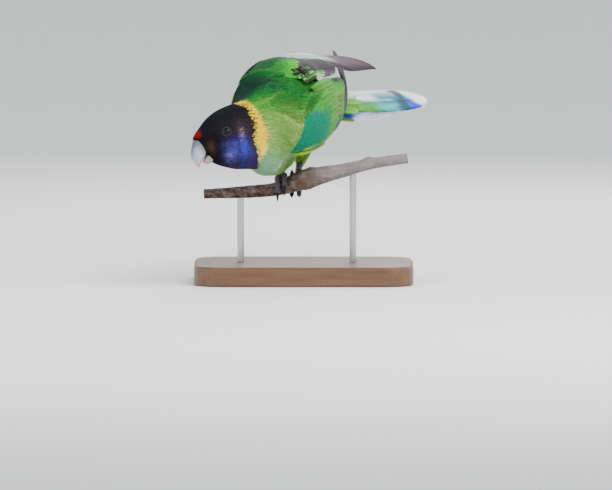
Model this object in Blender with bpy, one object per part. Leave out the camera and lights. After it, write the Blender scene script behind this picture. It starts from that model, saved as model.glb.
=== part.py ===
# An Australian ringneck parrot, life size, leaning forward over a cut length of branch on a display stand.
# Sizes are in centimetres; solid() turns them into metres. The origin is the middle of the base's underside.
# Each frame has x forward along that part of the bird, y to the bird's left and z towards its back.

import math

import bmesh
import bpy
from mathutils import Matrix, Vector

CM = 0.01
GAP = 0.03  # clearance between neighbouring pieces

# Stand
BASE_LENGTH = 16.0
BASE_DEPTH = 12.0
BASE_HEIGHT = 1.4
BASE_CORNER = 2.2
BASE_BEVEL = 0.2
CORNER_STEPS = 6
ROD_RADIUS = 0.25
ROD_PLACES = {"left": -3.6, "right": 4.6}  # along X from the grip
ROD_SIDES = 16

# Perch: distance along X from the grip, height over it, radius
GRIP = Vector((-1.0, 0.0, 7.4))
PERCH = (
    (-6.3, -1.00, 0.36),
    (-5.3, -0.96, 0.39),
    (-3.5, -0.88, 0.45),
    (-1.6, -0.73, 0.49),
    (-0.6, -0.55, 0.53),
    (0.6, -0.10, 0.71),
    (1.5, 0.12, 0.73),
    (2.6, 0.42, 0.62),
    (3.7, 0.67, 0.53),
    (6.1, 1.24, 0.41),
    (8.6, 1.60, 0.38),
)
PERCH_SIDES = 14
PERCH_STEPS = 21

# Stance: places from the grip; heading turns the part from -Y towards -X, pitch lifts it,
# roll leans its back over to its left
BODY_PLACE = Vector((0.90, -0.57, 6.16))
BODY_HEADING, BODY_PITCH, BODY_ROLL = 20.8, -7.2, 53.0
HEAD_PLACE = Vector((-4.37, -8.26, 3.72))
HEAD_HEADING, HEAD_PITCH, HEAD_ROLL = 74.2, -17.0, -8.5
TAIL_ROOT = Vector((-7.7, 1.22, -1.92))  # in the body's frame
TAIL_HEADING, TAIL_PITCH, TAIL_ROLL = 21.2, 2.3, 48.0

# Torso sections, front to back: x, centre y, centre z, half width, rise, depth, sag of the belly to the left
TORSO = (
    (3.9, 0.05, -0.52, 3.37, 3.07, 4.40, 1.00),
    (3.0, 0.05, -0.52, 3.40, 3.07, 4.60, 1.40),
    (1.5, 0.05, -0.57, 3.30, 2.92, 4.65, 1.65),
    (0.0, 0.05, -0.70, 3.15, 2.50, 4.25, 1.50),
    (-2.0, 0.15, -0.90, 2.82, 1.90, 3.30, 0.80),
    (-4.0, 0.32, -1.10, 2.38, 1.25, 2.40, 0.20),
    (-5.5, 0.70, -1.30, 1.95, 0.97, 1.78, 0.0),
    (-7.0, 1.00, -1.75, 1.45, 0.75, 1.25, 0.0),
    (-8.0, 1.20, -2.00, 1.05, 0.65, 0.85, 0.0),
    (-8.6, 1.30, -2.15, 0.65, 0.40, 0.50, 0.0),
)
TORSO_STEPS = 14
BODY_SIDES = 24
BODY_FULLNESS = 0.95  # below 1 squares the ellipses a little
BELLY_FULLNESS = 0.84  # the same for their lower half
SAG_START = 0.3  # share of the depth below which the belly sags

# Neck swell over the straight blend from torso to head: share, shift to the left, half width, rise, depth
NECK = (
    (0.0, 0.0, 0.0, 0.0, 0.0),
    (0.3, -0.60, 0.15, 0.15, 0.35),
    (0.6, -0.85, 0.60, 0.42, 0.45),
    (0.85, -0.65, 0.60, 0.35, 0.22),
    (1.0, 0.0, 0.0, 0.0, 0.0),
)
NECK_STEPS = 9
NECK_REACH = 4.0  # pull of the neck's curve at both ends

# Head sections, back to front: x, centre z, half width, rise, depth
HEAD = (
    (-1.35, -0.38, 2.32, 2.60, 2.65),
    (-0.90, -0.29, 2.17, 2.53, 2.58),
    (-0.30, -0.20, 2.00, 2.40, 2.45),
    (0.40, -0.10, 1.84, 2.18, 2.30),
    (1.00, 0.00, 1.66, 1.88, 2.05),
    (1.50, 0.05, 1.42, 1.57, 1.75),
    (1.90, 0.10, 1.14, 1.22, 1.40),
    (2.20, 0.25, 0.88, 0.88, 0.75),
    (2.45, 0.42, 0.62, 0.50, 0.35),
    (2.62, 0.55, 0.33, 0.20, 0.15),
)
HEAD_STEPS = 12
HEAD_BACK = -1.35

# Eyes: place in the head's frame and the way they look
EYE_PLACE = Vector((0.45, 1.47, 0.33))
EYE_RADIUS = 0.40
EYE_FORWARD, EYE_RISE = 14.0, 8.0
LID_RADIUS = 0.35
LID_THICKNESS = 0.09
LID_STAND = 0.28  # from the eye's middle to the lids' ring

# Bill: culmen x and z, edge x and z, half width, from the root inside the head to the tip
UPPER_BILL = (
    (2.20, 0.62, 1.45, -0.10, 0.62),
    (2.66, 0.47, 1.74, -0.32, 0.64),
    (2.93, 0.12, 2.05, -0.62, 0.58),
    (3.10, -0.22, 2.27, -0.86, 0.50),
    (3.19, -0.57, 2.47, -1.00, 0.40),
    (3.16, -0.92, 2.66, -1.15, 0.29),
    (3.05, -1.22, 2.78, -1.31, 0.18),
    (2.92, -1.46, 2.86, -1.46, 0.07),
)
LOWER_BILL = (
    (1.30, -0.50, 1.20, -1.20, 0.50),
    (1.70, -0.48, 1.62, -1.36, 0.52),
    (2.02, -0.68, 1.95, -1.42, 0.46),
    (2.28, -0.92, 2.22, -1.38, 0.36),
    (2.46, -1.08, 2.42, -1.28, 0.20),
)
BILL_SIDES = 14
NOSTRIL_PLACE = Vector((2.62, 0.30, 0.34))
NOSTRIL_RADIUS = 0.085
MOUTH_LINE = ((1.90, -0.42), (1.66, -0.50), (1.40, -0.72))
MOUTH_RADIUS = 0.06
MOUTH_HALF_WIDTH = 1.10

# Wing bed: x, centre y, centre z, half width, rise of the surface that the feathers lie on
WING_BED = (
    (6.2, -0.15, -0.40, 2.85, 2.70),
    (4.0, 0.05, -0.50, 3.45, 3.20),
    (2.0, 0.05, -0.50, 3.50, 3.12),
    (0.0, 0.05, -0.70, 3.30, 2.68),
    (-2.0, 0.15, -0.90, 2.98, 2.08),
    (-4.0, 0.28, -1.10, 2.55, 1.42),
    (-6.0, 0.40, -1.30, 2.10, 0.95),
    (-9.0, 0.10, -1.40, 2.00, 0.75),
    (-12.5, -0.40, -1.50, 1.90, 0.60),
    (-15.0, -0.60, -1.60, 1.80, 0.50),
)
WING_SIDE = {"left": 1, "right": -1}
WING_TIP_SHIFT = {"left": -0.7, "right": 0.0}  # across the back at the tips
WING_RAISE = {  # x and height over the bed: the right wing stands off the rump and lies over the left one
    "left": ((-14.0, 0.0), (-9.0, 0.15), (-6.0, 0.60), (-4.0, 0.85), (-2.5, 0.75), (-1.0, 0.4), (0.5, 0.1), (2.0, 0.0)),
    "right": ((-13.0, 1.60), (-9.0, 1.35), (-6.0, 1.15), (-4.0, 0.90), (-2.0, 0.45), (0.0, 0.05), (2.0, 0.0)),
}
RAISE_FADE = {"left": (0.2, 1.7), "right": (30.0, 1.0)}  # distance from the spine where the raise fades, its length
TIP_START, TIP_SPAN = -4.0, 8.0
CORE_FRONT = {"left": 6.0, "right": 5.2}
CORE_BACK = -1.6
CORE_LOW, CORE_HIGH = 5.4, 0.75  # distances round the body from the middle of the back
CORE_DROP = 1.0  # the bend of the wing hangs lower than the rest
CORE_STEPS = 8
CORE_INSETS = (0.4, 0.9, 1.0, 1.0, 0.85, 0.4)  # share of the thickness from the low edge upwards
CORE_SINK = 0.25
WING_ROOM = 0.06  # clearance of the wings round the torso and the neck
CORE_NOSE = 1.6  # length over which the front is rounded
CORE_THICKNESS = ((-1.6, 0.10), (1.0, 0.24), (3.2, 0.36), (4.8, 0.36), (6.0, 0.12))
VANE = 0.06  # thickness of a feather's vane

# Outlines of feathers: share of the length, share of the width
FLIGHT = ((0.0, 0.5), (0.35, 1.0), (0.7, 0.95), (0.92, 0.62), (1.0, 0.16))
POINTED = ((0.0, 0.5), (0.2, 0.9), (0.42, 1.0), (0.63, 0.92), (0.84, 0.66), (1.0, 0.12))
COVERT = ((0.0, 0.7), (0.45, 1.0), (0.8, 0.8), (1.0, 0.3))

# Tail: feathers in pairs from the middle outwards
TAIL_LENGTHS = (19.5, 18.6, 16.8, 14.6, 12.4, 10.5)
TAIL_EDGES = {  # outer edge of each pair at its tip; the tail opens more to the right
    "left": (0.85, 0.90, 0.98, 1.08, 1.22, 1.42),
    "right": (1.00, 1.32, 1.42, 1.48, 1.52, 1.55),
}
TAIL_LAYER = 0.095  # height between layers
TAIL_TOP = 0.30
TAIL_MIDDLE = 0.03  # inner edges keep this far from the middle
TAIL_BLOCK = ((1.3, 0.9, 0.45, 0.6), (0.0, 1.15, 0.55, 0.75), (-1.5, 1.15, 0.42, 0.60), (-3.2, 0.85, 0.26, 0.42))
TAIL_COVERTS = 4

# Legs: places from the grip
FEET = {
    "right": {"perch": -0.66, "turn": -4.0, "reach": 0.92, "ankle": Vector((-0.80, 1.75, 1.50)),
              "thigh": Vector((-0.6, 1.5, 4.2)), "size": 1.0, "outer": -1},
    "left": {"perch": 0.40, "turn": -100.0, "reach": 0.66, "ankle": Vector((0.75, 3.05, 1.2)),
             "thigh": Vector((0.9, 2.3, 3.6)), "size": 0.85, "outer": 1},
}
TARSUS_RADII = (0.26, 0.24, 0.22, 0.30)
THIGH_RADII = (1.35, 1.10, 0.58, 0.40)
THIGH_OVERLAP = 0.3
TOE_RADIUS, TOE_END_RADIUS = 0.235, 0.165
TOE_SIDES = 8
TOES = {  # number: sweep round the perch from its top, side, offset along the perch outwards, claw
    1: {"sweep": 78.0, "front": -1, "offset": -0.27, "claw": 0.62},
    2: {"sweep": 92.0, "front": 1, "offset": -0.25, "claw": 0.72},
    3: {"sweep": 118.0, "front": 1, "offset": 0.25, "claw": 0.80},
    4: {"sweep": 112.0, "front": -1, "offset": 0.27, "claw": 0.72},
}
CLAW_SIDES = 7

COLOURS = {  # red, green, blue, roughness, metallic
    "head": (0.035, 0.028, 0.045, 0.7, 0.0),
    "neck": (0.05, 0.16, 0.12, 0.7, 0.0),
    "torso": (0.10, 0.32, 0.10, 0.7, 0.0),
    "wing": (0.08, 0.35, 0.14, 0.6, 0.0),
    "tail": (0.25, 0.55, 0.50, 0.55, 0.0),
    "thigh": (0.16, 0.38, 0.14, 0.7, 0.0),
    "leg": (0.10, 0.095, 0.11, 0.6, 0.0),
    "claw": (0.03, 0.03, 0.035, 0.35, 0.0),
    "bill": (0.62, 0.64, 0.66, 0.35, 0.0),
    "eye": (0.01, 0.008, 0.008, 0.08, 0.0),
    "perch": (0.20, 0.15, 0.12, 0.85, 0.0),
    "stand_base": (0.18, 0.12, 0.08, 0.4, 0.0),
    "stand_rod": (0.55, 0.55, 0.56, 0.3, 1.0),
}


# Frames and curves
def frame_at(origin, heading, pitch, roll):
    h, p, r = math.radians(heading), math.radians(pitch), math.radians(roll)
    forward = Vector((-math.sin(h) * math.cos(p), -math.cos(h) * math.cos(p), math.sin(p)))
    level_left = Vector((math.cos(h), -math.sin(h), 0.0))
    up = forward.cross(level_left) * math.cos(r) + level_left * math.sin(r)
    matrix = Matrix((forward, up.cross(forward), up)).transposed().to_4x4()
    matrix.translation = origin
    return matrix


def hermite(start, start_pull, end, end_pull, t):
    return (
        start * (2 * t**3 - 3 * t**2 + 1)
        + start_pull * (t**3 - 2 * t**2 + t)
        + end * (3 * t**2 - 2 * t**3)
        + end_pull * (t**3 - t**2)
    )


def row_at(table, x):
    # The table's columns on a smooth curve through its rows
    rows = sorted(table)
    last = len(rows) - 1
    if x <= rows[0][0]:
        return rows[0][1:]
    if x >= rows[last][0]:
        return rows[last][1:]
    i = max(k for k in range(last) if rows[k][0] <= x)
    span = rows[i + 1][0] - rows[i][0]
    t = (x - rows[i][0]) / span

    def pull(k, column):
        low, high = rows[max(k - 1, 0)], rows[min(k + 1, last)]
        return (high[column] - low[column]) / (high[0] - low[0]) * span

    return [
        hermite(rows[i][c], pull(i, c), rows[i + 1][c], pull(i + 1, c), t)
        for c in range(1, len(rows[0]))
    ]


def smooth_step(t):
    t = min(max(t, 0.0), 1.0)
    return t * t * (3 - 2 * t)


def spread(start, end, count):
    return [start + (end - start) * k / (count - 1) for k in range(count)]


# Solids
def solid(name, points, faces):
    mesh = bpy.data.meshes.new(name)
    mesh.from_pydata([point * CM for point in points], [], faces)
    work = bmesh.new()
    work.from_mesh(mesh)
    bmesh.ops.recalc_face_normals(work, faces=work.faces)
    work.to_mesh(mesh)
    work.free()
    obj = bpy.data.objects.new(name, mesh)
    bpy.context.collection.objects.link(obj)
    return obj


def ring(frame, x, y, z, half_width, rise, depth, sides, upper=1.0, lower=1.0, sag=0.0):
    points = []
    for k in range(sides):
        angle = 2 * math.pi * k / sides
        s, c = math.sin(angle), math.cos(angle)
        fullness = upper if c > 0 else lower
        across = half_width * math.copysign(abs(s) ** fullness, s)
        height = (rise if c > 0 else depth) * math.copysign(abs(c) ** fullness, c)
        across += sag * smooth_step((-c - SAG_START) / (1 - SAG_START))
        points.append(frame @ Vector((x, y + across, z + height)))
    return points


def loft(name, rings):
    # Rings joined by triangles and closed by a fan at each end
    count = len(rings[0])
    points = [point for each in rings for point in each]
    faces = []
    for start in range(0, len(points) - count, count):
        for k in range(count):
            a, b = start + k, start + (k + 1) % count
            faces += [(a, b, a + count), (b, b + count, a + count)]
    for start in (0, len(points) - count):
        middle = sum(points[start:start + count], Vector()) / count
        points.append(middle)
        faces += [(start + k, start + (k + 1) % count, len(points) - 1) for k in range(count)]
    return solid(name, points, faces)


def tube(name, path, radii, sides):
    # A round tube along the path, whose rings turn with it
    rings = []
    last = len(path) - 1
    side = Vector((0.0, 0.0, 1.0)).cross(path[1] - path[0])
    if side.length < 1e-3:
        side = Vector((1.0, 0.0, 0.0))
    for i, point in enumerate(path):
        tangent = (path[min(i + 1, last)] - path[max(i - 1, 0)]).normalized()
        side = (side - tangent * side.dot(tangent)).normalized()
        top = tangent.cross(side)
        rings.append([
            point + (side * math.cos(a) + top * math.sin(a)) * radii[i]
            for a in (2 * math.pi * k / sides for k in range(sides))
        ])
    return loft(name, rings)


def ball(name, centre, radius, sides=14, rows=8):
    frame = Matrix.Translation(centre)
    rings = []
    for k in range(1, rows):
        turn = math.pi * k / rows
        size = radius * math.sin(turn)
        rings.append(ring(frame, radius * math.cos(turn), 0, 0, size, size, size, sides))
    obj = loft(name, rings)
    for end, pole in ((-2, 1), (-1, -1)):
        obj.data.vertices[len(obj.data.vertices) + end].co = (centre + Vector((pole * radius, 0, 0))) * CM
    return obj


def combine(obj, others, operation):
    # One Boolean with all the others, which are then removed; the largest closed surface stays
    holder = bpy.data.collections.new(obj.name + "_tools")
    bpy.context.scene.collection.children.link(holder)
    for other in others:
        bpy.context.collection.objects.unlink(other)
        holder.objects.link(other)
    step = obj.modifiers.new("Join", "BOOLEAN")
    step.operation = operation
    step.operand_type = "COLLECTION"
    step.collection = holder
    step.solver = "EXACT"
    evaluated = obj.evaluated_get(bpy.context.evaluated_depsgraph_get())
    mesh = bpy.data.meshes.new_from_object(evaluated)
    obj.modifiers.clear()
    obj.data = mesh
    for other in others:
        bpy.data.objects.remove(other)
    bpy.data.collections.remove(holder)
    keep_largest(mesh)
    return obj


def keep_largest(mesh):
    work = bmesh.new()
    work.from_mesh(mesh)
    bmesh.ops.triangulate(work, faces=work.faces)
    left = set(work.faces)
    shells = []
    while left:
        front = [left.pop()]
        shell = []
        while front:
            face = front.pop()
            shell.append(face)
            for edge in face.edges:
                if len(edge.link_faces) > 2:
                    continue
                for near in edge.link_faces:
                    if near in left:
                        left.remove(near)
                        front.append(near)
        shells.append(shell)
    shells.sort(key=lambda shell: sum(face.calc_area() for face in shell))
    for shell in shells[:-1]:
        bmesh.ops.delete(work, geom=shell, context="FACES")
    work.to_mesh(mesh)
    work.free()


def finish(obj, kind):
    red, green, blue, rough, metal = COLOURS[kind]
    material = bpy.data.materials.new(obj.name)
    material.use_nodes = True
    shader = material.node_tree.nodes["Principled BSDF"]
    shader.inputs["Base Color"].default_value = (red, green, blue, 1.0)
    shader.inputs["Roughness"].default_value = rough
    shader.inputs["Metallic"].default_value = metal
    obj.data.materials.clear()
    obj.data.materials.append(material)
    obj.data.shade_smooth()
    obj.data.set_sharp_from_angle(angle=math.radians(35))


# Frames of the bird
BODY = frame_at(GRIP + BODY_PLACE, BODY_HEADING, BODY_PITCH, BODY_ROLL)
SKULL = frame_at(GRIP + HEAD_PLACE, HEAD_HEADING, HEAD_PITCH, HEAD_ROLL)
TAIL = frame_at(BODY @ TAIL_ROOT, TAIL_HEADING, TAIL_PITCH, TAIL_ROLL)


# Torso, neck and head
def torso(name, swell=0.0):
    front, back = TORSO[0][0], TORSO[-1][0]
    rings = []
    for x in spread(front + swell, back - swell, TORSO_STEPS):
        y, z, width, rise, depth, sag = row_at(TORSO, x)
        sizes = (width + swell, rise + swell, depth + swell)
        rings.append(ring(BODY, x, y, z, *sizes, BODY_SIDES, BODY_FULLNESS, BELLY_FULLNESS, sag))
    return loft(name, rings)


def neck(name, swell=0.0):
    # From the torso's front face to the back of the head, turning and twisting on the way
    near = BODY @ Vector((TORSO[0][0] + GAP - swell, 0, 0))
    far = SKULL @ Vector((HEAD_BACK - GAP + swell, 0, 0))
    pulls = [BODY.col[0].to_3d() * NECK_REACH, SKULL.col[0].to_3d() * NECK_REACH]
    turns = [BODY.to_quaternion(), SKULL.to_quaternion()]
    first = TORSO[0][1:]
    centre_z, width, rise, depth = HEAD[0][1:]
    last = (0.0, centre_z, width, rise, depth, 0.0)
    rings = []
    for t in spread(0.0, 1.0, NECK_STEPS):
        frame = turns[0].slerp(turns[1], t).to_matrix().to_4x4()
        frame.translation = hermite(near, pulls[0], far, pulls[1], t)
        y, z, width, rise, depth, sag = (a + (b - a) * t for a, b in zip(first, last))
        shift, more_width, more_rise, more_depth = row_at(NECK, t)
        sizes = (width + more_width + swell, rise + more_rise + swell, depth + more_depth + swell)
        lower = BELLY_FULLNESS + (BODY_FULLNESS - BELLY_FULLNESS) * t
        rings.append(ring(frame, 0, y + shift, z, *sizes, BODY_SIDES, BODY_FULLNESS, lower, sag))
    return loft(name, rings)


def bill(name, table, swell=0.0):
    rings = []
    for top_x, top_z, low_x, low_z, width in table:
        top, low = Vector((top_x, 0, top_z)), Vector((low_x, 0, low_z))
        rise = (top - low).normalized()
        middle, half = (top + low) / 2, (top - low).length / 2 + swell
        points = []
        for k in range(BILL_SIDES):
            angle = 2 * math.pi * k / BILL_SIDES
            s, c = math.sin(angle), math.cos(angle)
            flat = abs(c) ** 0.8 if c > 0 else abs(c) ** 0.55
            across = Vector((0, (width + swell) * math.copysign(abs(s) ** 0.85, s), 0))
            points.append(SKULL @ (middle + across + rise * half * math.copysign(flat, c)))
        rings.append(points)
    return loft(name, rings)


def eye_frame(side):
    forward, rise = math.radians(EYE_FORWARD), math.radians(EYE_RISE)
    look = Vector((math.sin(forward), side * math.cos(forward) * math.cos(rise), math.sin(rise)))
    place = Vector((EYE_PLACE.x, side * EYE_PLACE.y, EYE_PLACE.z))
    turn = look.to_track_quat("Z", "X").to_matrix().to_4x4()
    return SKULL @ Matrix.Translation(place) @ turn


def lid_ring(side):
    frame = eye_frame(side)
    path = []
    for k in range(14):
        angle = 2 * math.pi * k / 14
        path.append((math.cos(angle), math.sin(angle)))
    points, faces = [], []
    around = 5
    for c, s in path:
        for j in range(around):
            turn = 2 * math.pi * j / around
            radius = LID_RADIUS + LID_THICKNESS * math.cos(turn)
            points.append(frame @ Vector((c * radius, s * radius, LID_STAND + LID_THICKNESS * math.sin(turn))))
    for i in range(14):
        for j in range(around):
            a, b = i * around + j, i * around + (j + 1) % around
            c, d = (i + 1) % 14 * around + (j + 1) % around, (i + 1) % 14 * around + j
            faces += [(a, b, d), (b, c, d)]
    return solid("lid", points, faces)


def head():
    rings = []
    for x in spread(HEAD[0][0], HEAD[-1][0], HEAD_STEPS):
        z, width, rise, depth = row_at(HEAD, x)
        rings.append(ring(SKULL, x, 0, z, width, rise, depth, BODY_SIDES))
    skull = combine(loft("head", rings), [lid_ring(1), lid_ring(-1)], "UNION")
    cutters = [bill("upper_seat", UPPER_BILL, GAP), bill("lower_seat", LOWER_BILL, GAP)]
    cutters += [ball("socket", eye_frame(side).translation, EYE_RADIUS + GAP) for side in (1, -1)]
    for side in (1, -1):
        path = [SKULL @ Vector((x, side * (MOUTH_HALF_WIDTH - 0.1 * k), z)) for k, (x, z) in enumerate(MOUTH_LINE)]
        cutters.append(tube("mouth_line", path, [MOUTH_RADIUS] * 3, 6))
    return combine(skull, cutters, "DIFFERENCE")


def bills():
    upper = bill("bill_upper", UPPER_BILL)
    holes = []
    for side in (1, -1):
        place = Vector((NOSTRIL_PLACE.x, side * NOSTRIL_PLACE.y, NOSTRIL_PLACE.z))
        holes.append(ball("nostril", SKULL @ place, NOSTRIL_RADIUS, 8, 6))
    lower = combine(bill("bill_lower", LOWER_BILL), [bill("upper_room", UPPER_BILL, GAP)], "DIFFERENCE")
    return combine(upper, holes, "DIFFERENCE"), lower


# Feathers
def vane(place, root, tip, width, slope=0.0, bend=1.0, outline=FLIGHT):
    # One flat feather from root to tip, each (x, across, lift); both faces have the same triangles
    points = []
    step_x = tip[0] - root[0]
    sign = 1 if step_x > 0 else -1
    for share, part in outline:
        x = root[0] + step_x * share
        across = root[1] + (tip[1] - root[1]) * share**bend
        lift = root[2] + (tip[2] - root[2]) * share
        step_across = (tip[1] - root[1]) * bend * max(share, 0.01) ** (bend - 1)
        length = math.hypot(step_x, step_across) * sign
        for side in (-1, 1):
            half = side * width * part / 2
            edge = (x - step_across / length * half, across + step_x / length * half)
            points.append(place(*edge, lift + slope * half))
            points.append(place(*edge, lift + slope * half - VANE))
    faces = [(0, 1, 3), (0, 3, 2)]
    last = len(points) - 4
    faces += [(last, last + 1, last + 3), (last, last + 3, last + 2)]
    for a in range(0, last, 4):
        b = a + 4
        faces += [(a, a + 2, b), (a + 2, b + 2, b)]
        faces += [(a + 1, a + 3, b + 1), (a + 3, b + 3, b + 1)]
        faces += [(a, a + 1, b), (a + 1, b + 1, b)]
        faces += [(a + 2, a + 3, b + 2), (a + 3, b + 3, b + 2)]
    return solid("vane", points, faces)


def arc_angle(distance, width, height):
    # The angle from the top of an ellipse that an arc of this length reaches
    step = math.radians(3)
    angle, left = 0.0, abs(distance)
    while True:
        middle = angle + step / 2
        length = step * math.hypot(width * math.cos(middle), height * math.sin(middle))
        if length >= left:
            return math.copysign(angle + step * left / length, distance)
        angle, left = angle + step, left - length


def wing_place(hand):
    side = WING_SIDE[hand]

    def place(x, across, lift):
        centre_y, centre_z, width, rise = row_at(WING_BED, x)
        raised, = row_at(WING_RAISE[hand], x)
        fade, length = RAISE_FADE[hand]
        lift += raised * (1 - smooth_step((across - fade) / length))
        across += WING_TIP_SHIFT[hand] * smooth_step((TIP_START - x) / TIP_SPAN)
        width, rise = width + lift, rise + lift
        angle = arc_angle(across, width, rise)
        return BODY @ Vector((
            x,
            centre_y + side * width * math.sin(angle),
            centre_z + rise * math.cos(angle),
        ))

    return place


def wing_core(place, front):
    # A lens of flesh and small coverts between the torso and the feathers' roots
    top, low = [], []
    rows = len(CORE_INSETS)
    for x in spread(front, CORE_BACK, CORE_STEPS):
        height, = row_at(CORE_THICKNESS, x)
        narrow = 1 - smooth_step((front - x) / CORE_NOSE)
        edge = CORE_LOW + CORE_DROP * smooth_step((x - CORE_BACK) / (front - CORE_BACK))
        for inset, across in zip(CORE_INSETS, spread(edge - narrow, CORE_HIGH + narrow, rows)):
            top.append(place(x, across, height * inset))
            low.append(place(x, across, -CORE_SINK))
    points = top + low
    count = len(top)
    faces = []
    for i in range(CORE_STEPS - 1):
        for j in range(rows - 1):
            a = i * rows + j
            b, c, d = a + 1, a + rows + 1, a + rows
            faces += [(a, b, d), (b, c, d), (a + count, d + count, b + count), (b + count, d + count, c + count)]
    rim = list(range(rows))
    rim += [i * rows + rows - 1 for i in range(1, CORE_STEPS)]
    rim += [(CORE_STEPS - 1) * rows + j for j in range(rows - 2, -1, -1)]
    rim += [i * rows for i in range(CORE_STEPS - 2, 0, -1)]
    for k, a in enumerate(rim):
        b = rim[(k + 1) % len(rim)]
        faces += [(a, a + count, b), (b, a + count, b + count)]
    return solid("core", points, faces)


def wing(hand):
    place = wing_place(hand)
    vanes = []
    for k in range(6):  # primaries, the longest outermost and lowest
        root = (4.4 - 0.35 * k, 6.0 - 0.25 * k, 0.09 + 0.02 * k)
        tip = (-13.0 + 0.95 * k, -1.25 + 0.22 * k, 0.08 + 0.09 * k)
        vanes.append(vane(place, root, tip, 1.15, 0.05, 1.35, POINTED))
    for k in range(5):  # secondaries
        root = (3.2 - 0.3 * k, 5.1 - 0.66 * k, 0.12)
        tip = (-3.6 - 0.36 * k, 3.5 - 0.5 * k, 0.26 + 0.03 * k)
        vanes.append(vane(place, root, tip, 1.45, 0.13))
    for k in range(3):  # tertials
        root = (2.0, 2.2 - 0.6 * k, 0.14)
        tip = (-4.9 + 0.5 * k, 1.65 - 0.36 * k, 0.45 + 0.09 * k)
        vanes.append(vane(place, root, tip, 1.6, 0.10))
    for k in range(2):  # primary coverts
        root = (4.3 - 0.3 * k, 5.8 - 0.5 * k, 0.18)
        tip = (-0.6 - 0.3 * k, 5.05 - 0.6 * k, 0.30)
        vanes.append(vane(place, root, tip, 1.1, 0.12, 1.0, COVERT))
    for k in range(4):  # greater coverts
        root = (4.0, 5.1 - 1.05 * k, 0.20)
        tip = (0.1 - 0.15 * k, 4.2 - 0.92 * k, 0.40)
        vanes.append(vane(place, root, tip, 1.5, 0.10, 1.0, COVERT))
    for k in range(3):  # median coverts
        root = (4.9, 5.3 - 1.4 * k, 0.24)
        tip = (2.1, 4.7 - 1.25 * k, 0.48)
        vanes.append(vane(place, root, tip, 1.7, 0.08, 1.0, COVERT))
    vanes.append(vane(place, (4.9, 6.1, 0.22), (2.5, 5.8, 0.34), 0.8, 0.1, 1.0, COVERT))
    vanes.append(vane(place, (3.9, 1.8, 0.2), (-1.3, 1.4, 0.60), 1.6, 0.1, 1.0, COVERT))  # scapular
    obj = combine(wing_core(place, CORE_FRONT[hand]), vanes, "UNION")
    obj.name = "wing_" + hand
    return combine(obj, [torso("torso_room", WING_ROOM), neck("neck_room", WING_ROOM)], "DIFFERENCE")


def tail_place(x, across, lift):
    return TAIL @ Vector((-x, across, lift))


def tail():
    rings = []
    for x, width, rise, depth in TAIL_BLOCK:
        rings.append(ring(TAIL, x, 0, 0, width, rise, depth, 16))
    vanes = []
    for pair, length in enumerate(TAIL_LENGTHS):
        for hand, side in WING_SIDE.items():
            outer = TAIL_EDGES[hand][pair]
            layer = TAIL_TOP - TAIL_LAYER * (pair + 1)
            if pair == 0:
                layer += TAIL_LAYER * (side < 0)
                spine, width = side * 0.08, outer * 2
            else:
                spine, width = side * (outer + TAIL_MIDDLE) / 2, outer - TAIL_MIDDLE
            root = (0.6, spine * 0.7, layer * 0.6)
            vanes.append(vane(tail_place, root, (length, spine, layer), width))
    for k in range(TAIL_COVERTS):
        spine = (k - (TAIL_COVERTS - 1) / 2) * 0.55
        middle = 1 - abs(spine) / 2
        upper = (0.3, spine, 0.42), (4.2 + 1.6 * middle, spine * 0.9, 0.42 + 0.1 * (k % 2))
        under = (0.3, spine, -0.42), (4.8 + 1.8 * middle, spine * 0.9, -0.62 - 0.1 * (k % 2))
        vanes.append(vane(tail_place, *upper, 0.95, 0.0, 1.0, COVERT))
        vanes.append(vane(tail_place, *under, 0.95, 0.0, 1.0, COVERT))
    obj = combine(loft("tail", rings), vanes, "UNION")
    return combine(obj, [torso("torso_room", GAP)], "DIFFERENCE")


# Perch, legs and stand
def perch_centre(x):
    height, radius = row_at(PERCH, x)
    return GRIP + Vector((x, 0, height)), radius


def perch(name, swell=0.0):
    path, radii = [], []
    for x in spread(PERCH[0][0], PERCH[-1][0], PERCH_STEPS):
        centre, radius = perch_centre(x)
        path.append(centre)
        radii.append(radius + swell)
    return tube(name, path, radii, PERCH_SIDES)


def toe_path(foot, toe):
    # From the pad over the perch, hugging it
    x = foot["perch"] + foot["outer"] * toe["offset"]
    centre, radius = perch_centre(x)
    reach = radius + TOE_RADIUS + GAP * 2
    start = foot["turn"] - toe["front"] * 12
    path = []
    for sweep in spread(start, foot["turn"] + toe["front"] * toe["sweep"] * foot["reach"], 6):
        angle = math.radians(sweep)
        path.append(centre + Vector((0, -math.sin(angle), math.cos(angle))) * reach)
    root, _ = perch_centre(foot["perch"])
    path[0].x = (root.x + path[0].x) / 2
    return path


def foot_pad(foot):
    centre, radius = perch_centre(foot["perch"])
    turn = math.radians(foot["turn"])
    return centre + Vector((0, -math.sin(turn), math.cos(turn))) * (radius + TOE_RADIUS + GAP * 2)


def tarsus(name, hand, swell=0.0):
    pad, ankle = foot_pad(FEET[hand]), GRIP + FEET[hand]["ankle"]
    path = [ankle + (pad - ankle) * t for t in (-swell / 2, 0.35, 0.7, 1.0)]
    return tube(name, path, [radius + swell for radius in TARSUS_RADII], 10)


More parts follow.
